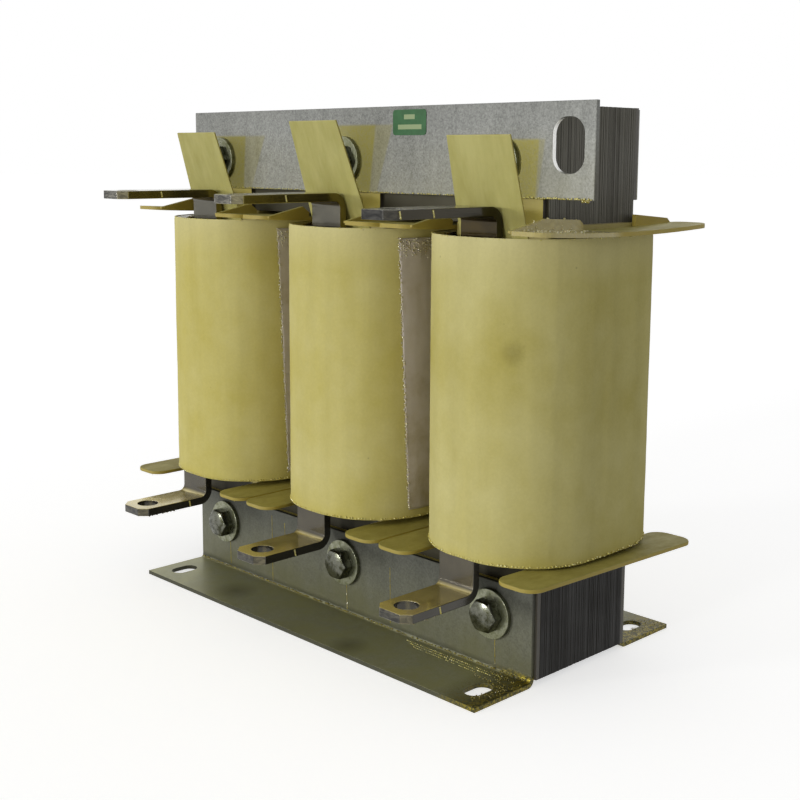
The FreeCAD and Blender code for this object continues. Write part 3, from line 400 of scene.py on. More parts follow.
def galvanised(name, bright, dull, film, metal, film_heights, film_share, with_painted_strip_shadows=False, pooled=False):
    finish, tree, shader, place = start_finish(name, Metallic=metal, Coat_Roughness=0.15)
    axes = add(tree, AXES, {0: place}).outputs
    bend = add(tree, NOISE, {"Vector": place, "Scale": SPANGLE_BEND, "Detail": 2.0})
    bending = {0: bend.outputs["Color"], 1: (0.004,) * 3, 2: place}
    bent = add(tree, VECTORS, bending, operation="MULTIPLY_ADD")
    spangle = add(tree, CELLS, {"Vector": bent, "Scale": SPANGLE})
    slant = add(tree, "ShaderNodeSeparateColor", {0: spangle.outputs["Color"]}).outputs
    grain = add(tree, NOISE, {"Vector": place, "Scale": ZINC_GRAIN, "Detail": 3.0, "Roughness": 0.8})
    wide = add(tree, NOISE, {"Vector": place, "Scale": ZINC_CLOUDS, "Detail": 4.0})
    drained = drawn_out(tree, place, DRAINED_STREAKS, 3.0)
    mottled = plus(tree, grain, (slant[0], 0.05), (wide, 0.22), (drained, 0.2))
    level = along(tree, (mottled, 0.55, 0.98, 0.0, 1.0))
    colour = stops(add(tree, RAMP, {0: level}), (0.0, dull), (1.0, bright))
    height = along(tree, (axes["Z"], *film_heights, film_share, 0.0))
    pools = add(tree, NOISE, {"Vector": place, "Scale": FILM_POOLS, "Detail": 5.0, "Roughness": 0.7})
    spread = along(tree, (pools, 0.35, 0.65, 0.6, 1.3))
    mask = add(tree, MATH, {0: height, 1: spread}, operation="MULTIPLY", use_clamp=True)
    relief = plus(tree, grain, (slant[2], 0.2))
    # The strips' painted yellow shadows join the varnish mask, so they tint colour, roughness and coat.
    if with_painted_strip_shadows:
        yellow = along(tree, painted_strip_shadows(tree, axes), (grain, 0.3, 0.7, 0.72, 1.25))
        mask = add(tree, MATH, {0: mask, 1: yellow}, operation="MAXIMUM", use_clamp=True)
    colour = laid(tree, colour, film, mask)
    if with_painted_strip_shadows:
        colour = plate_marks(tree, place, axes, colour)
    if pooled:
        colour, gold = foot_marks(tree, place, axes, colour)
        relief = plus(tree, relief, (gold, 4.0))
        mask = add(tree, MATH, {0: mask, 1: gold}, operation="MAXIMUM")
    rough = along(tree, (grain, 0.3, 0.7, 0.48, 0.64), (mask, 0.0, 1.0, 1.0, 0.75))
    feed(tree, shader, {"Coat Weight": along(tree, mask, 0.12 if pooled else 0.35)})
    end_finish(tree, shader, colour, rough, relief, 0.2, 0.35)
    return finish


PLATE_ZINC = ("#9FA09B", "#5F605C", "#7B7430", 0.6, (0.259, 0.296), 0.2)
FOOT_ZINC = ("#717269", "#4C4D45", "#5F5E40", 0.75, (0.0, 0.05), 0.75)
front_zinc = galvanised("galvanised_plate_front", *PLATE_ZINC, with_painted_strip_shadows=True)
clean_zinc = galvanised("galvanised_plate_rear", *PLATE_ZINC)
stained_zinc = galvanised("galvanised_foot", *FOOT_ZINC, pooled=True)
print("zinc:", front_zinc.name, clean_zinc.name, stained_zinc.name)

# %% [markdown]
# ## Zinc-plated fasteners
# Bolts and washers are cold-headed steel with a thin bright zinc plating, dulled by
# varnish. They are smoother than the sheet, and blots of dried varnish 4 mm wide
# darken them.

# %% Plated fasteners
VARNISH_BLOTS = 260.0


def plated(name, bright, drop, rough):
    finish, tree, shader, place = start_finish(name, Metallic=1.0, Coat_Weight=0.3, Coat_Roughness=0.15)
    blot = add(tree, NOISE, {"Vector": place, "Scale": VARNISH_BLOTS, "Detail": 4.0, "Roughness": 0.65})
    colour = stops(add(tree, RAMP, {0: blot}), (0.42, bright), (0.62, drop))
    dulled = along(tree, (blot, 0.35, 0.65, rough, rough + 0.18))
    end_finish(tree, shader, colour, dulled, blot, 0.3, 0.3)
    return finish


bolt_zinc = plated("zinc_plated_bolts", "#6A6B60", "#33341F", 0.16)
washer_zinc = plated("zinc_plated_washers", "#8E907C", "#66684C", 0.24)
print("fasteners:", bolt_zinc.name, washer_zinc.name)

# %% [markdown]
# ## Terminal bars
# The terminals are flat aluminium bar, sheared, punched and bent, then dipped with
# the rest. Faces that lay level held the varnish and look brassy. Upright faces
# drained and are painted dark and slick, partly as a painted dark reflection, and the
# w bar has a darker copy of the finish, a painted reflection too. The sheared free
# end is painted in bright and dark blotches, partly for its torn face and partly as
# painted glints. Fine draw lines run along the bar. They are 0.05 mm apart on the
# real one and are drawn every 0.5 mm to show.

# %% Bar stock
BAR_BLOTS, TEARS_AND_GLINTS, DRAW_LINES = 55.0, (160.0, 160.0, 420.0), (2000.0, 40.0, 2000.0)


def bar_stock(name, level, upright, end, post, metal=0.85):
    finish, tree, shader, place = start_finish(name, Metallic=metal, Coat_Weight=0.4, Coat_Roughness=0.1)
    axes, facing = add(tree, AXES, {0: place}).outputs, outward(tree)
    side = add(tree, MATH, {0: facing["X"]}, operation="ABSOLUTE")
    frontal = add(tree, MATH, {0: facing["Y"]}, operation="ABSOLUTE")
    blot = add(tree, NOISE, {"Vector": place, "Scale": BAR_BLOTS, "Detail": 5.0, "Roughness": 0.6})
    # Side faces get the dark upright colour: partly drained varnish, partly a painted dark reflection.
    colour = laid(tree, level, upright, (side, 0.3, 0.8, 0.0, 1.0))
    front = laid(tree, end, post, (axes["Y"], -0.03, -0.01, 0.0, 1.0))
    colour = laid(tree, colour, front, (frontal, 0.5, 0.9, 0.0, 1.0))
    colour = toned(tree, colour, (blot, 0.3, 0.7, 0.78, 1.2))
    # The free end's bright and dark blotches stand partly for its torn face and partly for painted glints and
    # reflections.
    tears_and_glints = drawn_out(tree, place, TEARS_AND_GLINTS, 4.0, Distortion=1.5)
    contrast = along(tree, (tears_and_glints, 0.38, 0.62, 0.35, 1.9))
    cut_end = along(tree, (facing["Y"], -0.9, -0.5, 1.0, 0.0), (axes["Y"], -0.035, -0.025, 1.0, 0.0))
    colour = toned(tree, colour, add(tree, MIX, {0: cut_end, 2: 1.0, 3: contrast}))
    relief = plus(tree, blot, (drawn_out(tree, place, DRAW_LINES, 2.0), 0.25))
    end_finish(tree, shader, colour, along(tree, (blot, 0.3, 0.7, 0.1, 0.26)), relief, 0.8, 0.25)
    return finish


upper_stock = bar_stock("dipped_bar_upper", "#8B8878", "#746A38", "#55534B", "#5A574B")
# The w bar's darker copy is a painted reflection of dark surroundings.
upper_stock_w_painted_reflection = bar_stock("dipped_bar_upper_w_painted_reflection", "#6E6B5F", "#2D2817", "#2C2B28", "#332806")
lower_stock = bar_stock("dipped_bar_lower", "#CFC083", "#3F3C34", "#403E36", "#4B4639", metal=0.65)
print("bars:", upper_stock.name, lower_stock.name)

# %% [markdown]
# ## Core steel
# The yokes are stacks of silicon steel half a millimetre thick, with a dark
# insulating oxide, varnished over. Each sheet was punched on its own, so each edge
# has its own tone. The stack's geometry stores one random tone for each sheet, and
# the material reads it. Faces that look forward are painted dark olive, a painted
# shade. The lower yoke has its own copy of the finish, painted nearly black: a
# painted shade for the dim space under the coils.

# %% Core steel
STEEL_CLOUDS, STEEL_GRIT = 45.0, 500.0


def core_steel(name, light, dark):
    finish, tree, shader, place = start_finish(name, Metallic=0.55)
    tone = add(tree, "ShaderNodeAttribute", attribute_name="sheet_tone").outputs["Fac"]
    cloud = add(tree, NOISE, {"Vector": place, "Scale": STEEL_CLOUDS, "Detail": 5.0})
    spread = along(tree, (plus(tree, tone, (cloud, 0.6)), 0.2, 1.3, 0.0, 1.0))
    colour = stops(add(tree, RAMP, {0: spread}), (0.0, dark), (1.0, light))
    # Faces that look forward are painted dark olive: a painted shade for the yoke's front faces in the narrow
    # gaps behind the plates.
    colour = laid(tree, colour, "#2B2711", (outward(tree)["Y"], -0.9, -0.5, 0.92, 0.0))
    grit = add(tree, NOISE, {"Vector": place, "Scale": STEEL_GRIT, "Detail": 3.0})
    end_finish(tree, shader, colour, along(tree, (cloud, 0.3, 0.7, 0.42, 0.62)), grit, 0.2, 0.3)
    return finish


upper_steel = core_steel("silicon_steel_upper", "#5F5D53", "#45433C")
# The lower yoke's copy is painted nearly black: a painted shade under the coils.
lower_steel_painted_shade = core_steel("silicon_steel_lower_painted_shade", "#232220", "#1A1917")
print("core steel:", upper_steel.name, lower_steel_painted_shade.name)

# %% [markdown]
# ## Winding foil, sleeves and label
# The windings are aluminium foil and paper rolled together, and the bolt sleeves
# are red-brown laminated tube. Their layers cannot be told apart from here, and
# fine mottling stands for them. The inspection label is glossy vinyl, green with
# two pale fields where print would be.

# %% Foil, sleeve and label
def layered(name, scale, darker, lighter, **constants):
    finish, tree, shader, place = start_finish(name, **constants)
    layers = add(tree, NOISE, {"Vector": place, "Scale": scale, "Detail": 2.0})
    feed(tree, shader, {"Base Color": stops(add(tree, RAMP, {0: layers}), (0.4, darker), (0.6, lighter))})
    return finish


foil = layered("rolled_foil", 800.0, "#A8985A", "#C9BA78", Metallic=0.2, Roughness=0.45)
sleeve = layered("laminated_tube", 400.0, "#6B3B22", "#824B2C", Roughness=0.5, IOR=1.5)

# Middle x and z, half width and half height of each pale field, in millimetres.
PRINT_FIELDS = ((54.2, 301.2, 4.2, 1.3), (54.5, 295.7, 9.2, 1.3))
label_vinyl, tree, shader, place = start_finish("label_vinyl", IOR=1.48, Specular_IOR_Level=0.25)
axes = add(tree, AXES, {0: place}).outputs
fields = None
for middle_x, middle_z, half_wide, half_high in PRINT_FIELDS:
    across = add(tree, MATH, {0: axes["X"], 1: middle_x * MM, 2: half_wide * MM}, operation="COMPARE")
    upwards = add(tree, MATH, {0: axes["Z"], 1: middle_z * MM, 2: half_high * MM}, operation="COMPARE")
    field = along(tree, across, upwards)
    fields = field if fields is None else add(tree, MATH, {0: fields, 1: field}, operation="MAXIMUM")
mottle = add(tree, NOISE, {"Vector": place, "Scale": 300.0, "Detail": 3.0})
green = stops(add(tree, RAMP, {0: mottle}), (0.3, "#27562C"), (0.7, "#2E6235"))
rough = along(tree, (mottle, 0.0, 1.0, 0.3, 0.42))
feed(tree, shader, {"Base Color": laid(tree, green, "#8C9D72", fields), "Roughness": rough})
print("foil, sleeve and label ready")

# %% [markdown]
# ## Varnish
# The varnish is a clear amber resin that set hard and glossy. In small drops it
# looks pale yellow, because light scatters inside, and brighter than what it lies
# on. So it is mostly a bright body with a very smooth surface.

# %% Varnish
VARNISH_DEPTH = 160.0


def set_varnish(name, thin, thick, rough):
    finish, tree, shader, place = start_finish(
        name, IOR=1.55, Roughness=rough, Subsurface_Weight=0.3, Subsurface_Scale=0.001,
        Subsurface_Radius=(1.0, 0.8, 0.2), Coat_Weight=0.5, Coat_Roughness=0.05
    )
    depth = add(tree, NOISE, {"Vector": place, "Scale": VARNISH_DEPTH, "Detail": 3.0})
    feed(tree, shader, {"Base Color": stops(add(tree, RAMP, {0: depth}), (0.35, thin), (0.65, thick))})
    return finish


pale_varnish = set_varnish("varnish_drops_pale", "#D8CF84", "#C4B75A", 0.12)
amber_varnish = set_varnish("varnish_pools_amber", "#9A8E38", "#7A6D22", 0.1)
dark_varnish = set_varnish("varnish_drops_dark", "#8B8460", "#4A4530", 0.06)
clear_varnish = set_varnish("varnish_drops_clear", "#D3CB9C", "#B3A970", 0.03)
rim_varnish = set_varnish("varnish_in_the_rim", "#BDA96A", "#937F46", 0.2)
cloth_resin = set_varnish("varnish_on_cloth", "#DDD7BC", "#B5AA84", 0.12)
print("varnish:", pale_varnish.name, amber_varnish.name, dark_varnish.name, cloth_resin.name)

# %% [markdown]
# ## Worn edges on the hard parts
# CAD edges are perfectly sharp, and nothing real is: a sheared, punched or headed
# edge is rounded by a few tenths of a millimetre, and that thin round is what
# catches the light. The CAD triangles are copied, joined into whole faces, and a
# Bevel modifier rounds only the corners that turn by more than 30 degrees. The CAD
# solid itself is never changed, the copy stands for it.

# %% Round the edges of a copy
SHARP = math.radians(30)


def whole_faces(node):
    """A CAD node's loose triangles joined into flat faces, in a mesh of its own."""
    work = bmesh.new()
    work.from_mesh(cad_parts[node].data)
    bmesh.ops.remove_doubles(work, verts=work.verts, dist=1e-6)
    bmesh.ops.dissolve_limit(work, angle_limit=math.radians(0.4), verts=work.verts, edges=work.edges)
    mesh = bpy.data.meshes.new(node)
    work.to_mesh(mesh)
    work.free()
    return mesh


def shown(name, mesh, finish):
    """An object in the scene with one finish and smooth faces between sharp corners."""
    piece = placed(name, mesh)
    mesh.materials.clear()
    mesh.materials.append(finish)
    mesh.shade_smooth()
    mesh.set_sharp_from_angle(angle=SHARP)
    return piece


def belong(piece, node=None):
    """Ties a piece to the one body, and hides the CAD node that it stands for, if one is given."""
    if node:
        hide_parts(node)
    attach(piece, "root")


def dress(node, finish, edge):
    """A copy of a CAD node with edges rounded by edge millimetres, standing for the node."""
    piece = shown(node + "_dressed", whole_faces(node), finish)
    bevel = piece.modifiers.new("worn_edge", "BEVEL")
    bevel.width = edge * MM
    bevel.segments = 2
    bevel.limit_method = "ANGLE"
    bevel.angle_limit = SHARP
    bevel.harden_normals = True
    belong(piece, node)
    return piece


dress("front_clamp_plate", front_zinc, 0.3)
dress("rear_clamp_plate", clean_zinc, 0.3)
for node in ("front_foot_bracket", "rear_foot_bracket"):
    dress(node, stained_zinc, 0.3)
for node in ("lower_bolts", "upper_bolts", "hex_nuts"):
    dress(node, bolt_zinc, 0.35)
for node in ("flat_washers", "spring_washers"):
    dress(node, washer_zinc, 0.25)
for leg in "uvw":
    dress("upper_terminal_" + leg, upper_stock_w_painted_reflection if leg == "w" else upper_stock, 0.5)
    dress("lower_terminal_" + leg, lower_stock, 0.5)
    strip = dress("insulating_strip_" + leg, strip_board, 0.25)
    # The strips cast no real shadow. Their shadows are painted on the front plate instead.
    strip.visible_shadow = False
    for level in ("upper", "lower"):
        for side in ("left", "right"):
            wet = (level, side, leg) == ("upper", "right", "w")
            dress(f"{level}_board_{side}_{leg}", wet_board if wet else end_board, 0.5)

# %% [markdown]
# ## Parts that keep their CAD shape
# The liners, the label and what sits inside stay as CAD made them, and only get
# their finish.

# %% Finishes on CAD nodes
def paint(finish, *nodes):
    for node in nodes:
        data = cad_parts[node].data
        data.materials.clear()
        data.materials.append(finish)


paint(liner_board, "front_upper_liner", "front_lower_liner", "rear_upper_liner", "rear_lower_liner")
paint(sleeve, "bolt_sleeves")
paint(label_vinyl, "inspection_label")
for leg in "uvw":
    paint(former_board, "coil_former_" + leg)
    paint(foil, "winding_" + leg)
    paint(gap_board, "gap_spacers_" + leg)
    paint(lower_steel_painted_shade, f"leg_lower_{leg}", f"leg_upper_{leg}")
print("painted CAD nodes:", sum(1 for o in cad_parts.values() if o.data.materials))

# %% [markdown]
# ## Yokes as stacks of sheets
# A yoke is 144 punched sheets of 0.5 mm. Lines painted on a block would do from
# afar, but real sheets never line up, and their ends step in and out by up to a
# tenth of a millimetre. One sheet is made in mesh code, with its three bolt holes,
# and a Geometry Nodes tree repeats it along the stack, moves each a little, and
# stores a random tone for it.

# %% One sheet
SHEET_PITCH, SHEET_SLACK, STACK_SHEETS = 0.5, 0.03, 144
HOLE_X, HOLE_RADIUS, HOLE_SIDES = (-120.0, 0.0, 120.0), 6.2, 12


def yoke_sheet(node, hole_z):
    """One sheet of a yoke with its bolt holes, standing at the front of the stack."""
    low, high = (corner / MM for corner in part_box(node))
    rings = [[(low.x, low.z), (high.x, low.z), (high.x, high.z), (low.x, high.z)]]
    for x in HOLE_X:
        turns = [k * math.tau / HOLE_SIDES for k in range(HOLE_SIDES)]
        rings.append([(x + HOLE_RADIUS * math.cos(a), hole_z + HOLE_RADIUS * math.sin(a)) for a in turns])
    work = bmesh.new()
    edges = []
    for ring in rings:
        corners = [work.verts.new((x * MM, low.y * MM, z * MM)) for x, z in ring]
        edges += [work.edges.new(pair) for pair in zip(corners, corners[1:] + corners[:1])]
    bmesh.ops.triangle_fill(work, use_beauty=True, edges=edges)
    back = bmesh.ops.extrude_face_region(work, geom=list(work.faces))
    for part in back["geom"]:
        if isinstance(part, bmesh.types.BMVert):
            part.co.y += (SHEET_PITCH - SHEET_SLACK) * MM
    bmesh.ops.recalc_face_normals(work, faces=work.faces)
    mesh = bpy.data.meshes.new(node + "_sheet")
    work.to_mesh(mesh)
    work.free()
    return mesh


print("sheets in a stack:", STACK_SHEETS)

# %% Helpers for Geometry Nodes
RANDOM, MOVE, REPEAT = "FunctionNodeRandomValue", "GeometryNodeSetPosition", "GeometryNodeInstanceOnPoints"


def new_tree(name, finish, **sizes):
    """A Geometry Nodes tree with its named inputs, ending in Realize Instances and Set Material."""
    tree = bpy.data.node_groups.new(name, "GeometryNodeTree")
    tree.interface.new_socket("Geometry", in_out="INPUT", socket_type="NodeSocketGeometry")
    for size, start in sizes.items():
        kind = "NodeSocketInt" if isinstance(start, int) else "NodeSocketFloat"
        tree.interface.new_socket(size, in_out="INPUT", socket_type=kind).default_value = start
    tree.interface.new_socket("Geometry", in_out="OUTPUT", socket_type="NodeSocketGeometry")
    given = add(tree, "NodeGroupInput").outputs
    real = add(tree, "GeometryNodeRealizeInstances")
    coated = add(tree, "GeometryNodeSetMaterial", {"Geometry": real, "Material": finish})
    add(tree, "NodeGroupOutput", {"Geometry": coated})
    return tree, given, real


def grow(name, mesh, tree, finish, **sizes):
    """Runs a tree on a mesh and gives the plain mesh piece, with no modifier left."""
    seed_piece = placed(name + "_start", mesh)
    nodes = seed_piece.modifiers.new("tree", "NODES")
    nodes.node_group = tree
    sockets = {item.name: item.identifier for item in tree.interface.items_tree if item.in_out == "INPUT"}
    for size, value in sizes.items():
        nodes[sockets[size]] = value
    bpy.context.view_layer.update()
    grown = bpy.data.meshes.new_from_object(seed_piece.evaluated_get(bpy.context.evaluated_depsgraph_get()))
    bpy.data.objects.remove(seed_piece)
    return shown(name, grown, finish)


print("node kinds for trees:", RANDOM, MOVE, REPEAT)

# %% The stacking tree
stacking, given, end = new_tree(
    "stack_sheets", upper_steel, Sheets=STACK_SHEETS, Pitch=SHEET_PITCH * MM, Step=0.12 * MM, Seed=1
)
step_y = add(stacking, "ShaderNodeCombineXYZ", {1: given["Pitch"]})
line = add(stacking, "GeometryNodeMeshLine", {"Count": given["Sheets"], "Offset": step_y}, mode="OFFSET")
limits = {"Min": (-1.0, 0.0, -1.0), "Max": (1.0, 0.0, 0.2), "Seed": given["Seed"]}
aside = add(stacking, RANDOM, limits, data_type="FLOAT_VECTOR")
shuffle = add(stacking, VECTORS, {0: aside, "Scale": given["Step"]}, operation="SCALE")
loose = add(stacking, MOVE, {"Geometry": line, "Offset": shuffle})
stack = add(stacking, REPEAT, {"Points": loose, "Instance": given["Geometry"]})
tones = add(stacking, RANDOM, {"Seed": given["Seed"]}, data_type="FLOAT")
storing = {"Geometry": stack, "Name": "sheet_tone", "Value": tones}
stored = add(stacking, "GeometryNodeStoreNamedAttribute", storing, data_type="FLOAT", domain="INSTANCE")
feed(stacking, end, {0: stored})

yokes = (("upper_yoke", upper_steel, 277.0, 3), ("lower_yoke", lower_steel_painted_shade, 34.0, 8))
for node, finish, hole_z, seed in yokes:
    stacked = grow(node + "_stack", yoke_sheet(node, hole_z), stacking, finish, Seed=seed)
    belong(stacked, node)
    print(stacked.name, "triangles", sum(len(p.vertices) - 2 for p in stacked.data.polygons))

# %% [markdown]
# ## Coil outline
# Seen from above each coil is a rounded oblong. Its wrap, its cloth and the drops
# along its edges all follow the same outline, so it is written once: points in
# millimetres round the coil, with the direction outwards at each.

# %% Coil outline
LEG_X = {"u": -120.0, "v": 0.0, "w": 120.0}
COIL_FRONT, COIL_BACK, COIL_CORNER, COIL_FLAT = 0.5, 124.5, 45.0, 5.0
COIL_LOW, COIL_TOP, WRAP = 70.2, 239.5, 1.5


def coil_outline(middle_x, outwards=0.0, arc_parts=44, flat_parts=5, side_parts=16):
    """Points round a coil from the middle of its back, moved outwards: (x, y, outward x, outward y)."""
    front, back, radius = COIL_FRONT + COIL_CORNER, COIL_BACK - COIL_CORNER, COIL_CORNER + outwards
    left, right = middle_x - COIL_FLAT, middle_x + COIL_FLAT
    arcs = []
    for x, y, start in ((left, back, 90), (left, front, 180), (right, front, 270), (right, back, 360)):
        turns = [math.radians(start + 90 * k / arc_parts) for k in range(arc_parts + 1)]
        aims = [(math.cos(a), math.sin(a)) for a in turns]
        arcs.append([(x + radius * nx, y + radius * ny, nx, ny) for nx, ny in aims])
    points = []
    for arc, next_arc in zip(arcs, arcs[1:] + arcs[:1]):
        (x0, y0, nx, ny), (x1, y1) = arc[-1], next_arc[0][:2]
        parts = side_parts if abs(y1 - y0) > abs(x1 - x0) else flat_parts
        points += arc
        for k in range(1, parts):
            points.append((x0 + (x1 - x0) * k / parts, y0 + (y1 - y0) * k / parts, nx, ny))
    return points


print("points round a coil:", len(coil_outline(0.0)))

# %% [markdown]
# ## Outer wraps
# Paper pulled round foil is never a perfect tube: it lies over soft ripples a tenth
# or two deep, and its cut edges wander by half a millimetre. Each wrap is a grid of
# points round the outline, pushed inwards by smooth noise so it never leaves the
# size that CAD gave it. On coil w the outer layer ends on the flank, a step of
# 0.22 mm.

# %% Outer wraps
SEAM_X, SEAM_STEP = 165.0, 0.22


def outward_mesh(name, points, faces):
    """A closed mesh from points in millimetres, with its faces turned outwards."""
    mesh = bpy.data.meshes.new(name)
    mesh.from_pydata([(x * MM, y * MM, z * MM) for x, y, z in points], [], faces)
    work = bmesh.new()
    work.from_mesh(mesh)
    bmesh.ops.recalc_face_normals(work, faces=work.faces)
    work.to_mesh(mesh)
    work.free()
    return mesh


def ring_faces(count, rings):
    """Faces between rings of points, each ring joined to the next and the last to the first."""
    starts = [ring * count for ring in range(rings)]
    return [(a + k, a + (k + 1) % count, b + (k + 1) % count, b + k)
            for a, b in zip(starts, starts[1:] + starts[:1]) for k in range(count)]


def paper_sinks(leg, x, y, z, nx):
    """How far the paper lies inside the smooth outline at a point."""
    broad, fine = Vector((x * 0.045, y * 0.045, z * 0.02)), Vector((x, y, z)) * 0.12
    sunk = 0.16 + 0.2 * noise.noise(broad) + 0.08 * noise.noise(fine)
    if leg == "w" and nx > 0.0:
        seam = SEAM_X - 6.0 * (noise.noise(Vector((0.0, 0.0, z * 0.03))) * 0.5 + 0.5)
        sunk += SEAM_STEP if x > seam + 2.0 else 0.0
    return sunk


def wrap_shell(leg, rows=84):
    outline = coil_outline(LEG_X[leg])
    points = []
    for row in range(rows + 1):
        share = row / rows
        for x, y, nx, ny in outline:
            edge_place = Vector((x * 0.03, y * 0.03, 7.0 if share > 0.5 else 3.0))
            edge_wave = 0.45 * abs(noise.noise(edge_place))
            low, top = COIL_LOW + edge_wave, COIL_TOP - edge_wave
            z = low + (top - low) * share
            sunk = max(paper_sinks(leg, x, y, z, nx) + (0.3 if row in (0, rows) else 0.0), 0.0)
            points.append((x - nx * sunk, y - ny * sunk, z))
    for z in (COIL_TOP - 0.1, COIL_LOW + 0.1):
        points += [(x - nx * WRAP, y - ny * WRAP, z) for x, y, nx, ny in outline]
    return outward_mesh("outer_wrap_" + leg, points, ring_faces(len(outline), rows + 3))


wraps = {}
for leg in LEG_X:
    wraps[leg] = shown(f"outer_wrap_{leg}_paper", wrap_shell(leg), papers[leg])
    wraps[leg].data.set_sharp_from_angle(angle=math.radians(50))
    belong(wraps[leg], "outer_wrap_" + leg)
print("wrap quads:", len(wraps["u"].data.polygons))

# %% [markdown]
# ## Glass cloth
# On the flanks between the coils lies a strip of woven glass cloth, soaked and
# pressed on by hand. It is lilac grey, finely woven, puckered down its length, and
# its slanting front border is frayed and white with resin. The cloth is a grid that
# follows the coil's outline, with its own UV map in real distances, so the weave
# follows the cloth. The threads are drawn 0.65 mm apart.

# %% Woven glass
THREADS, RESIN_CLOUDS = 480.0, 28.0
cloth_finish, tree, shader, place = start_finish(
    "woven_glass_cloth", IOR=1.5, Specular_IOR_Level=0.4, Sheen_Weight=0.15
)
on_cloth = add(tree, "ShaderNodeUVMap", uv_map="cloth")
weave = {"Vector": on_cloth, "Scale": THREADS, "Distortion": 1.2, "Detail": 1.0}
warp, weft = (add(tree, "ShaderNodeTexWave", weave, bands_direction=way).outputs["Fac"] for way in "XY")
woven = add(tree, MATH, {0: warp, 1: weft}, operation="MAXIMUM")
soaked = add(tree, NOISE, {"Vector": place, "Scale": RESIN_CLOUDS, "Detail": 6.0, "Roughness": 0.6})
colour = stops(add(tree, RAMP, {0: soaked}), (0.3, "#A89B7C"), (0.46, "#C1B7AB"), (0.68, "#CDC5BE"))
colour = toned(tree, colour, (woven, 0.0, 1.0, 0.93, 1.04))
rough = along(tree, (soaked, 0.3, 0.7, 0.35, 0.7))
end_finish(tree, shader, colour, rough, plus(tree, woven, (soaked, 1.5)), 0.4, 0.4)
print("cloth finish:", cloth_finish.name)

# %% Places on the flank
CLOTH_LOW, CLOTH_TOP, CLOTH_BACK = COIL_LOW + 5.5, COIL_TOP - 5.5, 78.5
CLOTH_SLANT, CLOTH_OUT = 6.5, 0.75
CLOTH_REACH = {"u": 13.3, "v": 20.0}


def on_flank(leg, share, z, out=CLOTH_OUT):
    """A point on the right flank, from the cloth's slanting border (0) to its back edge (1)."""
    slanted = CLOTH_SLANT * (CLOTH_TOP - z) / (CLOTH_TOP - CLOTH_LOW) - CLOTH_REACH[leg]
    start = math.asin(slanted / (COIL_CORNER + CLOTH_OUT))
    radius = COIL_CORNER + out
    arc, straight = -start * radius, CLOTH_BACK - COIL_FRONT - COIL_CORNER
    distance = share * (arc + straight)
    middle_x, middle_y = LEG_X[leg] + COIL_FLAT, COIL_FRONT + COIL_CORNER
    if distance < arc:
        a = start + distance / radius
        return Vector((middle_x + radius * math.cos(a), middle_y + radius * math.sin(a), z)), distance
    return Vector((middle_x + radius, middle_y + distance - arc, z)), distance


print("border of v's cloth at its top:", [round(v, 1) for v in on_flank("v", 0.0, CLOTH_TOP)[0]])

# %% Glass cloth on two coils
def glass_cloth(leg, across=46, up=120):
    points, faces, places, reach_seed = [], [], [], CLOTH_REACH[leg]
    for row in range(up + 1):
        z = CLOTH_LOW + (CLOTH_TOP - CLOTH_LOW) * row / up
        for k in range(across + 1):
            frayed = 0.02 * noise.noise(Vector((0.0, reach_seed, z * 0.35)))
            share = k / across if k else frayed
            pucker = noise.noise(Vector((share * 6.0, reach_seed, z * 0.035)))
            pucker += 0.4 * noise.noise(Vector((share * 14.0, 3.0, z * 0.12)))
            lift = 0.35 * pucker * (1.0 if 0 < k < across else 0.3)
            point, distance = on_flank(leg, max(share, 0.0), z, CLOTH_OUT + max(lift, -0.3))
            points.append(point * MM)
            places.append((distance * MM, z * MM))
    for row in range(up):
        for k in range(across):
            a = row * (across + 1) + k
            faces.append((a, a + 1, a + across + 2, a + across + 1))
    mesh = bpy.data.meshes.new("glass_cloth_" + leg)
    mesh.from_pydata(points, [], faces)
    layer = mesh.uv_layers.new(name="cloth")
    for loop in mesh.loops:
        layer.data[loop.index].uv = places[loop.vertex_index]
    return mesh


for leg in CLOTH_REACH:
    cloth = shown(f"glass_cloth_{leg}_woven", glass_cloth(leg), cloth_finish)
    thick = cloth.modifiers.new("cloth_thickness", "SOLIDIFY")
    thick.thickness = 0.3 * MM
    thick.offset = 0.0
    belong(cloth, "glass_cloth_" + leg)

# %% [markdown]
# ## Drops in rows
# Where varnish reached an edge it hung there and set as a row of small drops: under
# the coils, under the top plate, along the cloth's frayed border. They repeat along
# a path with uneven size and spacing, which is work for Geometry Nodes: points along
# the path, a random few left out, a low ball on each, scaled at random.

# %% The tree for rows of drops
drops_tree, given, end = new_tree(
    "rows_of_drops", pale_varnish, Spacing=2.0 * MM, Drop=0.5 * MM, Scatter=0.3 * MM, Share=0.8, Seed=1
)
path = add(drops_tree, "GeometryNodeMeshToCurve", {"Mesh": given["Geometry"]})
spacing = {"Curve": path, "Length": given["Spacing"]}
spots = add(drops_tree, "GeometryNodeCurveToPoints", spacing, mode="LENGTH")
limits = {"Min": (-1.0,) * 3, "Max": (1.0,) * 3, "Seed": given["Seed"]}
sway = add(drops_tree, RANDOM, limits, data_type="FLOAT_VECTOR")
sway = add(drops_tree, VECTORS, {0: sway, "Scale": given["Scatter"]}, operation="SCALE")
spots = add(drops_tree, MOVE, {"Geometry": spots, "Offset": sway})
kept = add(drops_tree, RANDOM, {"Probability": given["Share"], "Seed": given["Seed"]}, data_type="BOOLEAN")
ball = add(drops_tree, "GeometryNodeMeshIcoSphere", {"Radius": 1.0, "Subdivisions": 2})
ball = add(drops_tree, "GeometryNodeSetShadeSmooth", {"Geometry": ball})
limits = {"Min": (0.55, 0.55, 0.45), "Max": (1.35, 1.35, 1.1), "Seed": given["Seed"]}
scale = add(drops_tree, RANDOM, limits, data_type="FLOAT_VECTOR")
scale = add(drops_tree, VECTORS, {0: scale, "Scale": given["Drop"]}, operation="SCALE")
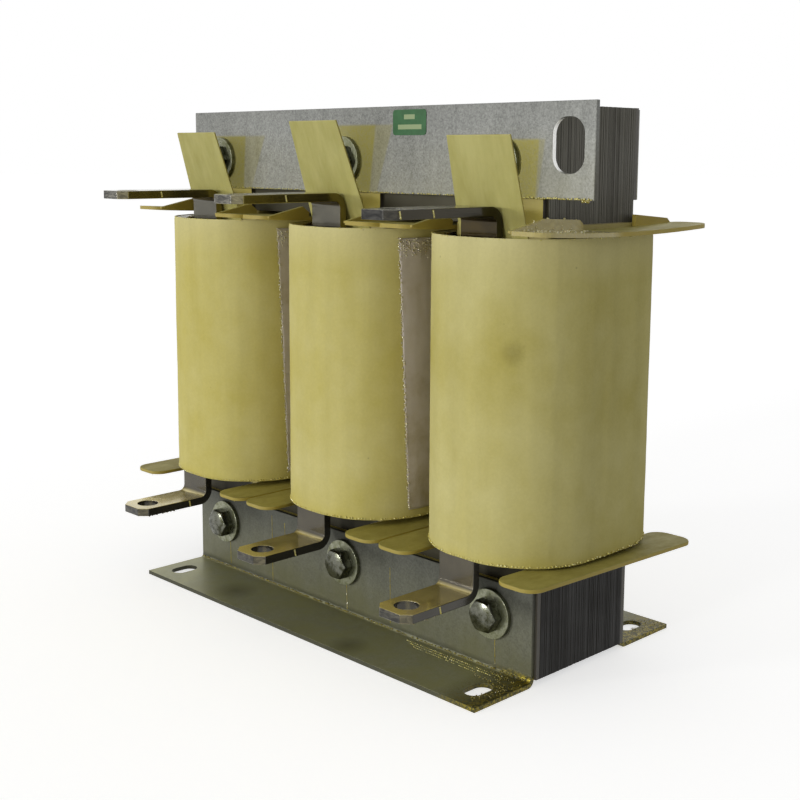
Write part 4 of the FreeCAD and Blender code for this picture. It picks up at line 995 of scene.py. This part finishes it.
drops = add(drops_tree, REPEAT, {"Points": spots, "Selection": kept, "Instance": ball, "Scale": scale})
feed(drops_tree, end, {0: drops})
BALL_FACES = 80


def paths_mesh(name, paths, closed=False):
    """Open or closed lines of points in millimetres, as one mesh of edges."""
    points, edges = [], []
    for path_points in paths:
        first = len(points)
        points += [Vector(p) * MM for p in path_points]
        edges += [(k, k + 1) for k in range(first, len(points) - 1)]
        if closed:
            edges.append((len(points) - 1, first))
    mesh = bpy.data.meshes.new(name)
    mesh.from_pydata(points, edges, [])
    return mesh


def row_of_drops(name, paths, finish, seed, sizes, closed=False):
    """Rows of drops along paths. sizes: spacing, drop radius and scatter in millimetres, share kept."""
    spacing, drop, scatter, share = sizes
    piece = grow(name, paths_mesh(name, paths, closed), drops_tree, finish, Spacing=spacing * MM,
                 Drop=drop * MM, Scatter=scatter * MM, Share=share, Seed=seed)
    belong(piece)
    print(name, "drops:", len(piece.data.polygons) // BALL_FACES)

# %% [markdown]
# ## Where the drops hang
# Each place is a path in millimetres: round the lower and top rims of the wraps, up
# the cloth's frayed border and across its top hem, along the lower edge of the front
# plate, in the bend and along the top of the front foot, on the right ends of both
# feet, under the free ends of the lower terminals, and below the fronts of the lower
# boards.

# %% Drops on the coils
BORDER_STEPS, HEM_STRANDS, HEM_WIDTH = 60, 26, 0.65


def ring_round(leg, outwards, z):
    return [(x, y, z) for x, y, nx, ny in coil_outline(LEG_X[leg], outwards)]


for leg, seed in (("u", 11), ("v", 12), ("w", 13)):
    row_of_drops("drops_under_wrap_" + leg, [ring_round(leg, -0.15, COIL_LOW + 0.9)], pale_varnish,
                 seed, (1.9, 0.6, 0.3, 0.9), closed=True)
    row_of_drops("drops_over_wrap_" + leg, [ring_round(leg, -0.5, COIL_TOP - 0.5)], pale_varnish,
                 seed + 10, (2.6, 0.4, 0.3, 0.45), closed=True)
for leg, seed in (("u", 31), ("v", 32)):
    heights = [CLOTH_LOW + (CLOTH_TOP - CLOTH_LOW) * k / BORDER_STEPS for k in range(BORDER_STEPS + 1)]
    border = [on_flank(leg, 0.0, z, 0.6)[0] for z in heights]
    row_of_drops("frayed_border_" + leg, [border], cloth_resin, seed, (1.1, 0.6, 0.6, 0.85))
    hem = []
    for strand in range(HEM_STRANDS):
        low = CLOTH_TOP - 9.0 + 2.5 * math.sin(strand * 1.7)
        high = CLOTH_TOP - 1.5 + 0.8 * math.sin(strand)
        share = strand * HEM_WIDTH / HEM_STRANDS
        hem.append([on_flank(leg, share, low + (high - low) * k / 3, 1.0)[0] for k in range(4)])
    row_of_drops("lacy_hem_" + leg, hem, cloth_resin, seed + 5, (1.0, 0.5, 0.35, 0.7))

# %% Drops on the plates and feet
UNDER_PLATE, ON_FOOT = (24.9, 259.2), 2.5
END_SPOTS = ((118.0, 12.0), (146.0, 8.0), (124.0, 22.0), (147.0, 17.0), (140.0, -12.0), (147.0, 4.0))
REAR_SPOTS = ((140.0, 128.0), (146.0, 149.0), (120.0, 132.0), (144.0, 110.0))
AMBER_ROWS = ("drops_in_foot_bend", "drops_on_foot_end", "drops_on_rear_foot_end", "drop_at_plate_corner")
# Points in space, or in plan on the foot's top, and the sizes that row_of_drops takes.
rows = (
    ("drops_under_plate_right", ((136.0, *UNDER_PLATE), (180.5, *UNDER_PLATE)), (1.4, 0.55, 0.25, 0.95)),
    ("drops_under_plate_left", ((-146.0, *UNDER_PLATE), (136.0, *UNDER_PLATE)), (1.4, 0.42, 0.2, 0.8)),
    ("drops_in_foot_bend", ((-147.0, 24.6, 3.4), (147.0, 24.6, 3.4)), (1.3, 0.5, 0.25, 0.85)),
    ("drops_on_foot_near", ((60.0, 20.5), (130.0, 20.5)), (1.4, 0.45, 0.1, 0.9)),
    ("drops_on_foot_mid", ((64.0, 18.3), (126.0, 18.0)), (1.4, 0.45, 0.1, 0.9)),
    ("drops_on_foot_far", ((70.0, 16.0), (120.0, 15.4)), (1.4, 0.42, 0.1, 0.8)),
    ("drops_on_foot_end", END_SPOTS, (0.5, 0.3, 1.5, 0.9)),
    ("drops_on_rear_foot_end", REAR_SPOTS, (0.5, 0.3, 1.5, 0.9)),
    ("drop_at_plate_corner", ((175.4, 25.1, 258.3), (178.4, 25.1, 258.3)), (1.2, 0.95, 0.2, 1.0))
)
for seed, (name, spots, sizes) in enumerate(rows, start=41):
    path_points = [spot if len(spot) == 3 else (*spot, ON_FOOT) for spot in spots]
    finish = amber_varnish if name in AMBER_ROWS else pale_varnish
    row_of_drops(name, [path_points], finish, seed, sizes)

# %% Drops on the bars and boards
FLOOR_BELOW, SKY_ABOVE = -10.0, 400.0


def touched(node, places, upwards):
    """Where plumb lines through the places, (x, y) in millimetres, meet the node from below or from above."""
    mesh = bpy.data.objects[node].data
    faces = [tuple(face.vertices) for face in mesh.polygons]
    skin = BVHTree.FromPolygons([corner.co for corner in mesh.vertices], faces)
    start, aim = (FLOOR_BELOW, 1.0) if upwards else (SKY_ABOVE, -1.0)
    hits = [skin.ray_cast(Vector((x, y, start)) * MM, Vector((0.0, 0.0, aim)))[:2] for x, y in places]
    return [tuple(point / MM) for point, normal in hits if point and normal.z * aim < -0.5]


for leg, seed in (("u", 51), ("v", 52), ("w", 53)):
    node = "lower_terminal_" + leg
    low, high = (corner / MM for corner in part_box(node))
    side_edge = [(high.x - 0.7, -20.0 - step) for step in range(0, 30, 3)]
    front_edge = [(high.x - 1.2 - step, low.y + 1.2) for step in range(5, 21, 3)]
    lip = [touched(node, side_edge + front_edge, upwards=True)]
    row_of_drops("drops_under_terminal_" + leg, lip, dark_varnish, seed,
                 (1.2, 0.5, 0.4, 0.55))
    for side in ("left", "right"):
        node = f"lower_board_{side}_{leg}"
        low, high = (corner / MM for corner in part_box(node))
        front_edge = [(low.x + (high.x - low.x) * k / 8, low.y + 1.5) for k in range(1, 8)]
        tip = [touched(node, front_edge, upwards=True)]
        row_of_drops(f"drops_under_board_{side}_{leg}", tip, pale_varnish, seed + 10,
                     (1.6, 0.45, 0.3, 0.4))

# %% [markdown]
# Varnish also stood in the groove between each wrap's top rim and the winding, and
# dried there as a tan band, which hides the deep gap beside the terminal's post.

# %% Dried varnish behind the top rims
RIM_OUTER, RIM_INNER = -1.7, -8.0
for leg in LEG_X:
    points = []
    for inwards, fall in ((RIM_OUTER, 0.3), (RIM_INNER, 0.9), (RIM_INNER, 2.0), (RIM_OUTER, 2.0)):
        for x, y, nx, ny in coil_outline(LEG_X[leg], inwards):
            ripple = 0.2 * noise.noise(Vector((x, y, fall)) * 0.15)
            points.append((x, y, COIL_TOP - fall + ripple))
    mesh = outward_mesh("rim_varnish_" + leg, points, ring_faces(len(points) // 4, 4))
    band = shown("rim_varnish_" + leg, mesh, rim_varnish)
    belong(band)
    print(band.name, "faces:", len(mesh.polygons))

# %% Drops on the wet tab
TAB_CORNER, TAB_STEP_X, TAB_STEP_Y = (153.6, 4.0), 2.4, 3.4
wet_tab = []
for row in range(14):
    across = [(TAB_CORNER[0] + TAB_STEP_X * k, TAB_CORNER[1] + TAB_STEP_Y * row) for k in range(8)]
    wet_tab.append(touched("upper_board_right_w", across, upwards=False))
wet_tab = [row for row in wet_tab if len(row) > 1]
row_of_drops("drops_on_wet_tab", wet_tab, clear_varnish, 71, (1.6, 0.55, 0.4, 0.4))

# %% [markdown]
# ## Runs
# Below each lower bolt, and here and there between them, the varnish ran down the
# bracket in thin threads, and a thin line or two cross the side of each terminal. A
# thread is a tube of uneven width half sunk in the surface: one more tree turns a
# path into one, with a random radius at each of its points.

# %% The tree for runs
runs_tree, given, end = new_tree("varnish_runs", amber_varnish, Width=0.4 * MM, Uneven=0.5, Seed=1)
path = add(runs_tree, "GeometryNodeMeshToCurve", {"Mesh": given["Geometry"]})
fine = add(runs_tree, "GeometryNodeResampleCurve", {"Curve": path, "Count": 40})
sample = add(runs_tree, RANDOM, {"Min": -1.0, "Max": 1.0, "Seed": given["Seed"]}, data_type="FLOAT")
radius = along(runs_tree, plus(runs_tree, 1.0, (sample, given["Uneven"])), given["Width"])
rim = add(runs_tree, "GeometryNodeCurvePrimitiveCircle", {"Resolution": 8, "Radius": 1.0})
tubing = {"Curve": fine, "Profile Curve": rim, "Scale": radius, "Fill Caps": True}
feed(runs_tree, end, {0: add(runs_tree, "GeometryNodeCurveToMesh", tubing)})


def run_of_varnish(name, points, finish, width, seed):
    mesh = paths_mesh(name, [points])
    piece = grow(name, mesh, runs_tree, finish, Width=width * MM, Uneven=0.35, Seed=seed)
    belong(piece)
    print(name, "faces:", len(piece.data.polygons))


BRACKET_FACE = 25.62
# x, top z and low z of each run down the bracket.
BRACKET_RUNS = (
    (-116.3, 21.0, 5.5), (-71.0, 48.0, 4.0), (1.7, 21.0, 4.5), (-58.0, 46.0, 30.0), (40.0, 40.0, 6.0),
    (122.5, 22.0, 6.0)
)
# x, y, top z and low z of each line across a bar's side.
BAR_LINES = {
    "u": (-109.5, -28.6, 257.2, 253.6), "v": (10.5, -27.2, 258.0, 254.4),
    "w_near": (130.5, -33.5, 254.2, 250.4), "w_far": (130.5, -56.0, 254.2, 250.4),
    "low_v": (4.5, -17.6, 52.2, 48.4), "low_u": (-115.5, -7.8, 55.2, 51.4),
    "low_w": (124.5, -19.9, 50.1, 46.3)
}
for index, (x, top, low) in enumerate(BRACKET_RUNS):
    line = [(x, BRACKET_FACE, top), (x + 0.6, BRACKET_FACE, low)]
    run_of_varnish(f"run_on_bracket_{index}", line, amber_varnish, 0.3, 60 + index)
for name, (x, y, top, low) in BAR_LINES.items():
    line = [(x, y, top), (x, y + 0.8, low)]
    run_of_varnish("line_across_terminal_" + name, line, pale_varnish, 0.45, 80)

# %% [markdown]
# ## Floor, world and lights
# The object stands on a plain pale floor. Lamps light the object at a plain level:
# the world gives half of it from all round, and two soft suns, both nearly level,
# give the other half, one straight from the front and one from the front left. What
# the camera sees directly, or in metal and glass, is a white background, so the
# white comes from Light Path in the world and the floor, and not from more light.

# %% Floor and world
WORLD_LIGHT, FLOOR_LIFT, FLOOR_HALF = 0.46, 0.6, 15


def background_share(tree):
    """1 for what the camera sees, in a reflection or through glass too, and 0 for light on the object."""
    path = add(tree, "ShaderNodeLightPath").outputs
    seen = add(tree, MATH, {0: path["Is Camera Ray"], 1: path["Is Glossy Ray"]}, operation="ADD")
    return add(tree, MATH, {0: seen, 1: path["Is Transmission Ray"]}, operation="ADD", use_clamp=True)


world = bpy.data.worlds.new("studio")
bpy.context.scene.world = world
world.use_nodes = True
tree = world.node_tree
tree.nodes.clear()
level = along(tree, (background_share(tree), 0.0, 1.0, WORLD_LIGHT, 1.0))
air = add(tree, "ShaderNodeBackground", {"Color": "#FFFFFF", "Strength": level})
add(tree, "ShaderNodeOutputWorld", {"Surface": air})

floor_mesh = bpy.data.meshes.new("studio_floor")
floor_corners = [(x * FLOOR_HALF, y * FLOOR_HALF, 0) for x, y in ((-1, -1), (1, -1), (1, 1), (-1, 1))]
floor_mesh.from_pydata(floor_corners, [], [(0, 1, 2, 3)])
floor = placed("studio_floor", floor_mesh)
pale_floor, tree, shader, place = start_finish(
    "pale_floor", Base_Color=(0.8, 0.8, 0.8, 1.0), Roughness=0.9, Specular_IOR_Level=0.0,
    Emission_Color="#FFFFFF"
)
feed(tree, shader, {"Emission Strength": along(tree, background_share(tree), FLOOR_LIFT)})
floor_mesh.materials.append(pale_floor)
print("floor and world ready")

# %% Lamps
def soft_sun(name, turn, rise, strength, spread):
    """A distant soft lamp, turn degrees from the front towards the left, rise above level."""
    lamp_data = bpy.data.lights.new(name, "SUN")
    lamp_data.energy = strength
    lamp_data.angle = math.radians(spread)
    lamp = placed(name, lamp_data)
    a, e = math.radians(turn), math.radians(rise)
    towards = Vector((-math.sin(a) * math.cos(e), -math.cos(a) * math.cos(e), math.sin(e)))
    lamp.rotation_euler = towards.to_track_quat("Z", "Y").to_euler()


soft_sun("lamp_front", turn=0, rise=5, strength=0.88, spread=9)
soft_sun("lamp_left", turn=29, rise=5, strength=0.88, spread=9)
